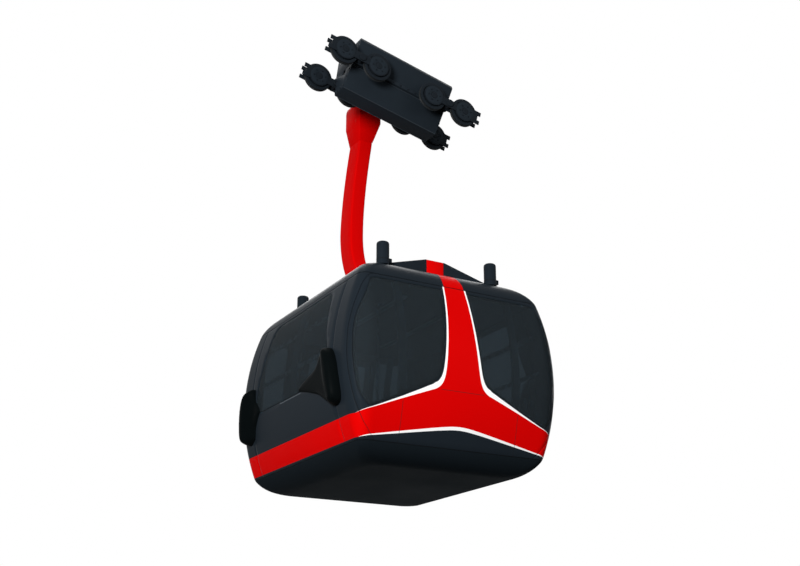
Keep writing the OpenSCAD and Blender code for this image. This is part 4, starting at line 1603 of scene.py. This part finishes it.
@dataclass
class Bumpers:
    """The four bumpers on the ends: an upright pad at the corner, with a wing drawn out to a point."""

    frame: CabinFrame
    reach: float = 0.138
    shift_far: float = 0.090
    tip_near: float = 0.280
    tip_far: float = 0.980
    wing_root: float = 1.100
    under: tuple[Point2, ...] = (
        (1.300, 0.152), (1.222, 0.152), (1.057, 0.235), (0.864, 0.355), (0.623, 0.438), (0.430, 0.492),
        (0.280, 0.532),
    )
    over: tuple[Point2, ...] = (
        (0.280, 0.560), (0.400, 0.604), (0.585, 0.650), (0.780, 0.702), (0.865, 0.775), (0.920, 0.855),
        (1.000, 0.884), (1.105, 0.884), (1.210, 0.850), (1.290, 0.765), (1.350, 0.630), (1.385, 0.450),
        (1.402, 0.290), (1.375, 0.190), (1.300, 0.152),
    )

    def outline(self, tip: float, shift: float) -> Loop:
        """Returns a bumper's outline in y and z.

        Args:
            tip: Where its wing ends.
            shift: How much further out the whole pad lies.
        """
        root = self.wing_root
        share = (root + shift - tip) / (root - self.tip_near)

        def moved(line: Loop) -> Loop:
            return [(y + shift if y > root else root + shift - (root - y) * share, z) for y, z in line]

        return [*moved(smooth_line(self.under, 4)), *moved(smooth_line(self.over, 4))[:-1]]

    def _bumper(self, into: Builder, face: Face, tip: float, shift: float) -> None:
        """Adds one bumper to a piece."""
        quarter = self.frame.shell.quarter

        def relief(points: np.ndarray, to_edge: np.ndarray) -> np.ndarray:
            y, z = quarter - points[:, 0], points[:, 1]
            crest = 1.20 + shift + (0.80 - z) / 0.60 * 0.12
            wing = 0.028 + 0.040 * np.clip((y - tip) / max(crest.max() - tip, 0.1), 0, 1) ** 2
            near = np.cos(np.clip((crest - y) / 0.23, 0, 1) * math.pi) / 2 + 0.5
            outer = np.sqrt(1 - np.clip((y - crest) / 0.20, 0, 0.95) ** 2)
            height = np.where(y < crest, wing + (self.reach - wing) * near, self.reach * outer)
            dome = np.sqrt(1 - (1 - np.clip(to_edge / 0.075, 0, 1)) ** 2)
            return 0.006 + (height - 0.006) * dome

        outline = [(quarter - y, z) for y, z in self.outline(tip, shift)]
        Panel(face, outline, BUMPER_PLASTIC, grid=0.018, rim=0.004, thickness=0.002, relief=relief).build(
            self.frame, into
        )

    def build(self) -> None:
        """Makes both ends' bumpers."""
        front = Builder("front_bumpers", "cabin", Slot.BUMPER, "bumpers_front")
        self._bumper(front, Face.SIDE_FRONT, self.tip_near, 0.0)
        self._bumper(front, Face.DOOR_FRONT, self.tip_far, self.shift_far)
        front.finish(angle=50)
        rear = Builder("rear_bumpers", "cabin", Slot.BUMPER, "bumpers_rear")
        self._bumper(rear, Face.SIDE_REAR, self.tip_near, 0.0)
        self._bumper(rear, Face.DOOR_REAR, self.tip_far, self.shift_far)
        rear.finish(angle=50)


# ---------- doors ----------


@dataclass
class Doors:
    """Two leaves that slide apart in front of the wall, their track, sill and rollers."""

    frame: CabinFrame
    patterns: Patterns
    width: float = 0.540
    gap: float = 0.003
    foot: float = 0.262
    top: float = 1.690
    outer: float = -0.046
    thickness: float = 0.038
    border: float = 0.060
    sill: float = 0.060

    def _leaf(self, sign: int, name: str) -> None:
        """Makes one leaf with its pane, its rubber edge, its rollers' arms and its grab bar."""
        body = f"door_{name}"
        leaf = Builder(f"leaf_{name}", body, Slot.SHELL, f"door_leaf_{name}")
        near, far = sign * self.gap, sign * self.width
        outline = block(near, far, -self.foot, self.top)
        window = rounded(
            block(
                sign * (self.gap + self.border), sign * (self.width - self.border),
                self.sill, self.top - self.border - 0.02,
            ),
            0.05,
        )
        low, high = sorted((near, far))
        belt = block(low - 0.01, high + 0.01, -0.30, 0.0)
        Panel(
            Face.DOOR_SIDE, outline, ANTHRACITE_PAINT, [window], [Zone(belt, RED_PAINT)],
            depth=self.outer, thickness=self.thickness,
        ).build(self.frame, leaf)
        meeting_edge = [(sign * 0.010, -self.foot + 0.004), (sign * 0.010, self.top - 0.004)]
        ribbon(self.frame, Face.DOOR_SIDE, meeting_edge, leaf, SEAL_RUBBER, width=0.014,
               depth=self.outer - 0.002, thickness=0.036)
        ribbon(self.frame, Face.DOOR_SIDE, inset(window, 0.008), leaf, SEAL_RUBBER, width=0.024,
               depth=self.outer + 0.014, thickness=0.010, closed=True)
        for x in (0.090, self.width - 0.150):
            a = block(sign * x, sign * (x + 0.06), self.top - 0.001, self.top + 0.013)
            Panel(Face.DOOR_SIDE, a, BARE_STEEL, depth=self.outer + 0.008, thickness=0.022, rim=0.001).build(
                self.frame, leaf
            )
        bar_x = np.array([sign * 0.034])
        bar = [
            Vector(self.frame.place(Face.DOOR_SIDE, bar_x, np.array([z]), self.outer + 0.004)[0])
            for z in np.linspace(0.36, 1.10, 13)
        ]
        leaf.tube(bar, lambda i: oval(0.008, 0.006, 10), Vector((1, 0, 0)), SEAL_RUBBER)
        leaf.finish(angle=40)
        pane = Builder(f"leaf_pane_{name}", body, Slot.GLASS, f"door_glass_{name}")
        Panel(
            Face.DOOR_SIDE, inset(window, 0.003), GLASS, depth=self.outer + 0.004, thickness=0.008, grid=0.12,
            rim=0.002,
        ).build(self.frame, pane)
        pane.finish(angle=40)

    def build(self) -> None:
        """Makes the leaves, the track and the sill with its ribs."""
        self._leaf(1, "front")
        self._leaf(-1, "rear")
        softened("door_track", "door_track_section", "cabin", ANODISED, 0.005)
        softened("door_sill", "door_sill_section", "cabin", ANODISED, 0.003)
        lo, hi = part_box("door_track")
        xs = np.linspace(lo.x + 0.06, hi.x - 0.06, 15)
        z = 1.722
        spots = self.frame.place(Face.DOOR_SIDE, xs - self.frame.middle_x, np.full(15, z), -0.0460)
        facing = [Vector((0, 1, 0))] * 15
        self.patterns.bolt_piece("door_track_screws", "cabin", Slot.TRIM, (list(spots), facing), 0.006)


# ---------- interior ----------


@dataclass
class Interior:
    """Benches, poles, rails, floor and ceiling lights."""

    frame: CabinFrame
    patterns: Patterns
    seats: int = 5
    bench_half: float = 1.180

    def _bench(self, sign: int, name: str) -> None:
        """Makes a row of moulded seats from the bench's own section."""
        lo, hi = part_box(f"bench_{name}")
        floor, deep = lo.z, hi.z - lo.z
        wall = hi.x if sign > 0 else lo.x
        front = hi.x - lo.x
        seat = floor + 0.440
        line = [
            (front - 0.06, floor), (front - 0.055, seat - 0.075), (front - 0.02, seat - 0.055),
            (front - 0.002, seat - 0.025), (front - 0.012, seat + 0.006), (front - 0.05, seat + 0.014),
            (0.30, seat + 0.006), (0.16, seat + 0.004), (0.115, seat + 0.04), (0.092, seat + 0.16),
            (0.068, seat + 0.34), (0.058, seat + 0.42), (0.040, floor + deep - 0.004),
            (0.018, floor + deep - 0.002), (0.006, seat + 0.42), (0.008, seat + 0.2),
            (0.014, seat - 0.05), (0.05, seat - 0.10), (0.060, floor),
        ]
        back, rows = len(line), 12 * self.seats + 1
        ys = np.linspace(-self.bench_half, self.bench_half, rows)
        bench = Builder(f"moulded_seats_{name}", "cabin", Slot.SEAT, f"bench_{name}")
        verts: list[Vector] = []
        for y in ys:
            share = (y + self.bench_half) / (2 * self.bench_half) * self.seats
            place = 2 * (share - math.floor(min(share, self.seats - 1e-6))) - 1
            dish = 0.020 * (1 - min(1.0, abs(place) ** 4)) if abs(place) < 1 else 0.0
            for k, (depth, z) in enumerate(line):
                sunk = dish if 3 < k < 12 else 0.0
                along = 1.0 if k < 8 else 0.25
                verts.append(Vector((wall - sign * (depth - sunk * (1 - along)), y, z - sunk * along)))
        faces = [
            (j * back + k, j * back + (k + 1) % back, (j + 1) * back + (k + 1) % back, (j + 1) * back + k)
            for j in range(rows - 1)
            for k in range(back)
        ]
        faces += [tuple(range(back)), tuple((rows - 1) * back + k for k in range(back))]
        bench.add(verts, faces, SEAT_PLASTIC)
        bench.finish(angle=40)

    def build(self) -> None:
        """Makes the benches, the floor's studs and the ceiling's lights, and dresses what stays."""
        self._bench(1, "front")
        self._bench(-1, "rear")
        lo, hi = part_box("floor_plate")
        xs = np.arange(lo.x + 0.62, hi.x - 0.60, 0.05)
        ys = np.arange(lo.y + 0.12, hi.y - 0.10, 0.05)
        places = [(x + (0.025 if j % 2 else 0.0), y, hi.z) for j, y in enumerate(ys) for x in xs]
        self.patterns.studs.piece(
            "floor_studs", "cabin", Slot.FLOOR, point_mesh("floor_studs", places),
            {"Radius": 0.012, "Height": 0.0025, "Material": FLOOR_RUBBER.material()},
        )
        lo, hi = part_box("ceiling_panel")
        lights = Builder("ceiling_lights", "cabin", Slot.TRIM)
        for x in (-0.42, 0.42):
            strip = rounded(block(x - 0.05, x + 0.05, -1.1, 1.1), 0.045)
            bezel = rounded(block(x - 0.065, x + 0.065, -1.115, 1.115), 0.05)
            place = Matrix.Translation((self.frame.middle_x, 0, lo.z))
            lights.prism(place, bezel, -0.008, 0.002, ANODISED)
            lights.prism(place, strip, -0.014, -0.007, OPAL)
        lights.finish(bevel=0.002)
        poles = Builder("pole_flanges", "cabin", Slot.STEEL)
        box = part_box("grab_poles")
        for x in (box[0].x + 0.018, box[1].x - 0.018):
            for y in (box[0].y + 0.018, box[1].y - 0.018):
                foot = Matrix.Translation((x, y, box[0].z))
                ring = [
                    (0.019, 0.0), (0.045, 0.0), (0.045, 0.006),
                    (0.026, 0.012), (0.0215, 0.030), (0.019, 0.030),
                ]
                poles.lathe(foot, ring, STAINLESS, 24, closed=True)
                head = Matrix.Translation((x, y, box[1].z)) @ Matrix.Rotation(math.pi, 4, "X")
                poles.lathe(head, ring, STAINLESS, 24, closed=True)
        poles.finish(angle=35)
        for node, finish in (
            ("grab_poles", STAINLESS), ("window_rails", STAINLESS), ("window_posts", ANODISED),
            ("floor_plate", FLOOR_RUBBER), ("ceiling_panel", TRIM_PLASTIC),
        ):
            dress(node, finish)


def dress(node: str, finish: Finish) -> None:
    """Gives a frame node that stays showing its finish.

    Args:
        node: Name of the node.
        finish: Its finish.
    """
    mesh = bpy.data.objects[node].data
    mesh.materials.clear()
    mesh.materials.append(finish.material())
    log.info("%s: dressed in %s", node, finish.name)


# ---------- hanger ----------


@dataclass
class Hanger:
    """The bowed arm, its head with the pivot, and its foot on the roof's beam."""

    patterns: Patterns
    width: float = 0.370
    top_width: float = 0.334
    foot_width: float = 0.230
    depth: float = 0.220
    top_y: float = 1.015
    top_z: float = -0.150
    bow_y: float = 1.290
    bow_z: float = -1.520
    foot_y: float = 0.400
    rounding: float = 0.030

    def line(self) -> list[tuple[float, float, float]]:
        """Returns the arm's middle line as y, z and width across, from its head down to its foot."""
        lo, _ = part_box("hanger_arm")
        foot_z = lo.z + self.foot_width / 2
        made = [(self.top_y, self.top_z + 0.10, self.top_width)]
        for s in np.linspace(0, 1, 25):
            y = self.top_y + (self.bow_y - self.top_y) * (1 - (1 - s) ** 1.7)
            width = self.top_width + (self.width - self.top_width) * s
            made.append((y, self.top_z + (self.bow_z - self.top_z) * s, width))
        for s in np.linspace(0, 1, 25)[1:]:
            a = s * math.pi / 2
            y = self.foot_y + (self.bow_y - self.foot_y) * math.cos(a)
            z = self.bow_z - (self.bow_z - foot_z) * math.sin(a)
            made.append((y, z, self.width + (self.foot_width - self.width) * s))
        return made

    def build(self) -> None:
        """Makes the arm, the head, the foot and their fastenings."""
        lo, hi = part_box("hanger_arm")
        middle = (lo.x + hi.x) / 2
        line = self.line()
        path = [Vector((middle, y, z)) for y, z, _ in line]
        half = self.depth / 2

        def section(i: int) -> Loop:
            w = line[i][2] / 2
            return rounded(block(-half, half, -w, w), self.rounding, 4)

        arm = Builder("hanger_arm_box", "cabin", Slot.ARM, "hanger_arm")
        arm.tube(path, section, Vector((1, 0, 0)), ARM_PAINT)
        # Weld beads run down both faces, a hand's width inside the edges
        for side in (-1, 1):
            for across in (-1, 1):
                bead = [
                    Vector((middle + side * (half - 0.0015), *beside(line, i, across * 0.30 * line[i][2])))
                    for i in range(2, len(line) - 1)
                ]
                circle = oval(0.0035, 0.0035, 6)
                arm.tube(bead, lambda i, ring=circle: ring, Vector((1, 0, 0)), ARM_PAINT)
        arm.finish(angle=40)
        softened("hanger_head", "hanger_head_casting", "cabin", ARM_PAINT, 0.018)
        softened("hanger_foot", "hanger_foot_flange", "cabin", ARM_PAINT, 0.006)
        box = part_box("hanger_foot")
        xs = (box[0].x + 0.028, box[1].x - 0.028)
        ys = np.linspace(box[0].y + 0.03, box[1].y - 0.03, 5)
        spots = [(x, y, box[1].z + 0.001) for x in xs for y in ys]
        self.patterns.bolt_piece(
            "hanger_foot_bolts", "cabin", Slot.ARM, (spots, [Vector((0, 0, 1))] * len(spots)), 0.015
        )


# ---------- carriage ----------


@dataclass
class Carriage:
    """The box that stands in the ropes' slope: belly, side rails, cover, axle, cheeks and grip."""

    patterns: Patterns
    slope: float = math.radians(13.5)
    half: float = 0.785
    rail_y: float = 0.306
    pivot_rise: float = 0.420

    def place(self, x: float = 0.0, y: float = 0.0, z: float = 0.0) -> Matrix:
        """Returns a place in the ropes' own slope."""
        return Matrix.Rotation(self.slope, 4, "Y") @ Matrix.Translation((x, y, z))

    def _casings(self) -> None:
        """Makes the plates from the frame's own, with softened edges."""
        softened("carriage_frame", "carriage_belly", "carriage", CARRIAGE_COAT, 0.007)
        softened("carriage_cover", "carriage_cover_shell", "carriage", CARRIAGE_COAT, 0.012)
        softened("pivot_cradle", "pivot_cheeks", "carriage", CAST_COAT, 0.005)
        softened("rope_grip", "rope_grip_jaws", "carriage", BARE_STEEL, 0.005)
        softened("pivot_axle", "pivot_axle_shaft", "carriage", CAST_COAT, 0.006)

    def _panels(self) -> None:
        """Makes the cover's hatches, beads along the belly's folded edges in a lighter coat as painted
        highlight, and the lifting eyes.
        """
        trim = Builder("carriage_trim", "carriage", Slot.CARRIAGE)
        for x in (-0.60, -0.20, 0.20, 0.60):
            hatch = rounded(block(x - 0.17, x + 0.17, -0.22, 0.22), 0.035)
            trim.prism(self.place(0, 0, 0.638), hatch, 0.0, 0.007, CARRIAGE_COAT)
        trim.finish(bevel=0.0025)
        # Beads along the belly's edges, in a lighter coat that paints on the highlight where light catches
        # them
        edges = Builder("carriage_edge_folds", "carriage", Slot.CARRIAGE)
        bead = oval(0.005, 0.005, 8)
        for side in (-1, 1):
            for y, z in ((0.2525, 0.205), (0.140, -0.135)):
                ends = [self.place(x, side * y, z).translation for x in (-0.775, 0.775)]
                edges.tube(ends, lambda i: bead, self.slope_normal(), PAINTED_HIGHLIGHT_COAT)
        edges.finish(angle=60)
        eyes = Builder("lifting_eyes", "carriage", Slot.STEEL)
        for x in (-0.70, 0.70):
            for y in (-0.24, 0.24):
                spot = self.place(x, y, 0.638)
                foot = [(0.0, 0.0), (0.022, 0.0), (0.022, 0.003), (0.012, 0.005), (0.0, 0.005)]
                eyes.lathe(spot, foot, BARE_STEEL, 20)
                ring = [spot @ Vector((0.030 + 0.018 * math.sin(a), 0.018 * math.cos(a), 0.004))
                        for a in np.linspace(0, 2 * math.pi, 21)]
                bar = oval(0.004, 0.004, 8)
                eyes.tube(ring, lambda i: bar, self.slope_normal(), BARE_STEEL)
        eyes.finish(angle=40)

    def slope_normal(self) -> Vector:
        """Returns the direction square to the ropes, upwards."""
        return Matrix.Rotation(self.slope, 3, "Y") @ Vector((0, 0, 1))

    def _bolts(self) -> None:
        """Sets bolts along the rails, round the end plates and round the pivot's caps."""
        turn = Matrix.Rotation(self.slope, 3, "Y")
        spots: tuple[list, list] = ([], [])
        for side in (-1, 1):
            for x in np.linspace(-0.74, 0.74, 13):
                spots[0].append(self.place() @ Vector((x, side * (self.rail_y + 0.0005), 0.228)))
                spots[1].append(turn @ Vector((0, side, 0)))
        for end in (-1, 1):
            for y, z in (
                (-0.15, -0.10), (0.15, -0.10), (-0.20, 0.04), (0.20, 0.04), (-0.23, 0.16), (0.23, 0.16),
                (-0.05, -0.11), (0.05, -0.11),
            ):
                spots[0].append(self.place() @ Vector((end * (self.half + 0.0005), y * 0.86, z)))
                spots[1].append(turn @ Vector((end, 0, 0)))
        self.patterns.bolt_piece("carriage_bolts", "carriage", Slot.CARRIAGE, spots, 0.011, CAST_COAT)
        cap_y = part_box("pivot_axle")[1].y
        cap = self.place(0, cap_y + 0.0005, self.pivot_rise) @ Matrix.Rotation(-math.pi / 2, 4, "X")
        ring = circle_places(cap, 0.060, 8)
        self.patterns.bolt_piece("pivot_cap_bolts", "carriage", Slot.STEEL, ring, 0.011)

    def build(self) -> None:
        """Makes every piece of the carriage."""
        self._casings()
        self._panels()
        self._bolts()


@dataclass
class RunningGear:
    """Four rockers with two wheels each, which roll on the track ropes."""

    carriage: Carriage
    patterns: Patterns
    rocker_x: float = 0.740
    wheel_half: float = 0.270
    wheel_z: float = 0.222
    track_y: float = 0.430
    wheel_r: float = 0.212
    wheel_w: float = 0.070
    groove_r: float = 0.028
    plate_y: float = 0.061
    # A running fit: the bore of a rocker is 70.2 mm wide
    stub_r: float = 0.0345

    def _wheel(self, number: int, side: int, name: str) -> None:
        """Makes one wheel: hub, dished web, flanged rim and the liner in its groove."""
        end = -1 if number < 3 else 1
        x = end * self.rocker_x + (-self.wheel_half if number in (1, 3) else self.wheel_half)
        place = self.carriage.place(x, side * self.track_y, self.wheel_z)
        place = place @ Matrix.Rotation(math.pi / 2, 4, "X")
        half = self.wheel_w / 2
        r = self.wheel_r
        one = [
            (0.026, -half + 0.002), (0.028, -half), (0.062, -half), (0.068, -half + 0.004),
            (0.073, -half + 0.013), (0.078, -0.0215), (0.158, -0.0215), (0.163, -half + 0.012),
            (0.167, -half + 0.003), (0.171, -half), (r - 0.006, -half), (r - 0.001, -half + 0.003),
            (r, -half + 0.007),
        ]
        turn = math.acos((self.wheel_z - r) / self.groove_r) * 0.96
        arc = [(self.wheel_z - self.groove_r * math.cos(a), self.groove_r * math.sin(a))
               for a in np.linspace(-turn, turn, 13)]
        profile = [*one, *arc, *[(q, -h) for q, h in reversed(one)]]
        finishes = [CAST_COAT] * len(one) + [LINER] * (len(arc) - 1) + [CAST_COAT] * (len(one) + 1)
        wheel = Builder(f"{name}_casting", name, Slot.CARRIAGE, name)
        wheel.lathe(place, profile, finishes, 72, closed=True)
        # Eight ribs stiffen the web on both faces
        for face in (-1, 1):
            for k in range(8):
                a = 2 * math.pi * k / 8
                spoke = place @ Matrix.Rotation(a, 4, "Z")
                rib = [(0.074, -0.006), (0.162, -0.005), (0.162, 0.005), (0.074, 0.006)]
                low, high = sorted((face * 0.018, face * 0.031))
                wheel.prism(spoke, rib, low, high, CAST_COAT)
        wheel.finish(angle=35)

    def _stubs(self) -> None:
        """Turns the four stub axles that the rockers swing on, each with a collar and an end cap."""
        stubs = Builder("rocker_stub_axles", "carriage", Slot.STEEL, "rocker_stubs")
        r = self.stub_r
        profile = [
            (0.0, 0.306), (r + 0.021, 0.306), (r + 0.025, 0.310), (r + 0.025, 0.316), (r + 0.021, 0.318),
            (r, 0.318), (r, 0.495), (r + 0.018, 0.495), (r + 0.020, 0.497), (r + 0.020, 0.508),
            (r + 0.017, 0.511), (0.0, 0.511),
        ]
        for end in (-1, 1):
            for side in (-1, 1):
                place = self.carriage.place(end * self.rocker_x, 0, self.wheel_z)
                stubs.lathe(place @ Matrix.Rotation(-side * math.pi / 2, 4, "X"), profile, CAST_COAT, 48)
        stubs.finish(angle=35)

    def _rocker(self, end: int, side: int, name: str) -> None:
        """Makes one rocker: two plates from the frame's own, with a dished cover over each axle."""
        softened(name, f"{name}_plates", name, CAST_COAT, 0.006)
        covers = Builder(f"{name}_covers", name, Slot.CARRIAGE)
        spots: tuple[list, list] = ([], [])
        for x in (-self.wheel_half, self.wheel_half):
            for out in (-1, 1):
                place = self.carriage.place(
                    end * self.rocker_x + x, side * self.track_y + out * self.plate_y, self.wheel_z
                ) @ Matrix.Rotation(-out * math.pi / 2, 4, "X")
                ring = [(0.053, -0.002), (0.053, 0.004), (0.060, 0.0075), (0.108, 0.0075), (0.126, 0.006),
                        (0.142, 0.0015), (0.144, -0.002)]
                covers.lathe(place, ring, CARRIAGE_COAT, 48, closed=True)
                around = circle_places(place @ Matrix.Translation((0, 0, 0.0078)), 0.092, 6, 15)
                spots[0].extend(around[0])
                spots[1].extend(around[1])
        covers.finish(angle=40)
        self.patterns.bolt_piece(f"{name}_bolts", name, Slot.CARRIAGE, spots, 0.009, CAST_COAT)

    def build(self) -> None:
        """Makes all rockers and wheels."""
        self._stubs()
        for side, near in ((-1, "near"), (1, "far")):
            for end, place in ((1, "front"), (-1, "rear")):
                self._rocker(end, side, f"rocker_{near}_{place}")
            for number in range(1, 5):
                self._wheel(number, side, f"wheel_{near}_{number}")


# ---------- studio ----------


def shown_share(tree: bpy.types.NodeTree) -> bpy.types.NodeSocket:
    """Returns a value that is 1 for what the camera sees, straight, mirrored or through glass, and else 0."""
    rays = add(tree, "ShaderNodeLightPath").outputs
    shown = rays["Is Camera Ray"]
    for kind in ("Is Glossy Ray", "Is Transmission Ray"):
        shown = add(tree, "ShaderNodeMath", {0: shown, 1: rays[kind]}, operation="MAXIMUM").outputs[0]
    return shown


@dataclass
class Studio:
    """Camera, lamps, white world and pale floor."""

    lens: float = 51.58
    sensor: float = 36.0
    position: tuple[float, float, float] = (-7.134, -13.056, -8.154)
    right: tuple[float, float, float] = (0.8715, -0.4904, 0.0)
    ahead: tuple[float, float, float] = (0.4607, 0.8188, 0.3424)
    world_level: float = 0.40
    floor_grey: float = 0.05
    floor_drop: float = 0.05

    def camera(self) -> None:
        """Sets the camera low, near one corner of the cabin, looking up at it."""
        data = bpy.data.cameras.new("camera")
        data.lens = self.lens
        data.sensor_width = self.sensor
        data.clip_start, data.clip_end = 0.1, 300.0
        camera = bpy.data.objects.new("camera", data)
        right, ahead = Vector(self.right).normalized(), Vector(self.ahead).normalized()
        up = right.cross(ahead)
        rows = [(right[i], up[i], -ahead[i], self.position[i]) for i in range(3)]
        camera.matrix_world = Matrix((*rows, (0, 0, 0, 1)))
        bpy.context.scene.collection.objects.link(camera)
        bpy.context.scene.camera = camera

    def lamp(self, name: str, place: Vector, target: Vector, size: float, power: float) -> None:
        """Adds a soft square lamp.

        Args:
            name: Its name.
            place: Where it stands.
            target: Where it points.
            size: Its side.
            power: Its power in watts.
        """
        data = bpy.data.lights.new(name, "AREA")
        data.shape = "SQUARE"
        data.size = size
        data.energy = power
        lamp = bpy.data.objects.new(name, data)
        lamp.location = place
        lamp.rotation_euler = (target - place).to_track_quat("-Z", "Y").to_euler()
        bpy.context.scene.collection.objects.link(lamp)

    def world(self) -> None:
        """Makes the world white to the camera, in mirrors and through glass, and dimmer as a lamp."""
        world = bpy.data.worlds.new("white_surround")
        bpy.context.scene.world = world
        world.use_nodes = True
        tree = world.node_tree
        tree.nodes.clear()
        level = add(
            tree,
            "ShaderNodeMapRange",
            {"Value": shown_share(tree), "To Min": self.world_level, "To Max": 1.0},
        )
        back = add(
            tree, "ShaderNodeBackground", {"Color": (1, 1, 1, 1), "Strength": level.outputs["Result"]}
        )
        add(tree, "ShaderNodeOutputWorld", {"Surface": back.outputs["Background"]})

    def floor(self) -> None:
        """Lays the floor just under the camera."""
        z = self.position[2] - self.floor_drop
        mesh = bpy.data.meshes.new("floor")
        reach = 120.0
        mesh.from_pydata([(-reach, -reach, z), (reach, -reach, z), (reach, reach, z), (-reach, reach, z)], [],
                         [(0, 1, 2, 3)])
        floor = bpy.data.objects.new("floor", mesh)
        bpy.context.scene.collection.objects.link(floor)
        mesh.materials.append(self.floor_paint())

    def floor_paint(self) -> bpy.types.Material:
        """Makes the floor pale to the camera, in mirrors and through glass, and grey as a lamp."""
        made = PALE_FLOOR.material()
        tree = made.node_tree
        shader = next(n for n in tree.nodes if n.type == "BSDF_PRINCIPLED")
        pale = shader.inputs["Base Color"].links[0].from_socket
        mixed = add(
            tree,
            "ShaderNodeMix",
            {0: shown_share(tree), 6: (self.floor_grey,) * 3 + (1.0,), 7: pale},
            data_type="RGBA",
        )
        tree.links.new(mixed.outputs[2], shader.inputs["Base Color"])
        return made

    def build(self) -> None:
        """Sets up everything but the object."""
        scene = bpy.context.scene
        scene.view_settings.view_transform = "Standard"
        self.camera()
        self.world()
        self.floor()
        aim = Vector((0.1, 0.0, -4.0))
        self.lamp("key", Vector((-13.8, -13.0, -3.0)), aim, 6.0, 4000.0)
        self.lamp("fill", Vector((9.0, -12.0, 0.0)), aim, 7.0, 250.0)
        self.lamp("back", Vector((7.0, 12.0, 9.0)), aim, 12.0, 1500.0)
        self.lamp("top", Vector((0.0, 3.0, 9.0)), Vector((0, 0, -1)), 6.0, 300.0)


def main() -> None:
    """Builds every sub-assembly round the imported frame."""
    logging.basicConfig(level=logging.INFO, format="%(name)s %(message)s")
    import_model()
    lo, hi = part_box("underbody")
    shell = ShellForm()
    cabin = CabinFrame((lo.x + hi.x) / 2, lo.z + shell.floor_drop, shell)
    patterns = Patterns()
    Studio().build()
    skin = CabinShell(cabin)
    skin.walls()
    skin.roof()
    skin.tub()
    RoofGear(cabin, patterns).build()
    Bumpers(cabin).build()
    Doors(cabin, patterns).build()
    Interior(cabin, patterns).build()
    Hanger(patterns).build()
    carriage = Carriage(patterns)
    carriage.build()
    RunningGear(carriage, patterns).build()


if __name__ == "__main__":
    main()
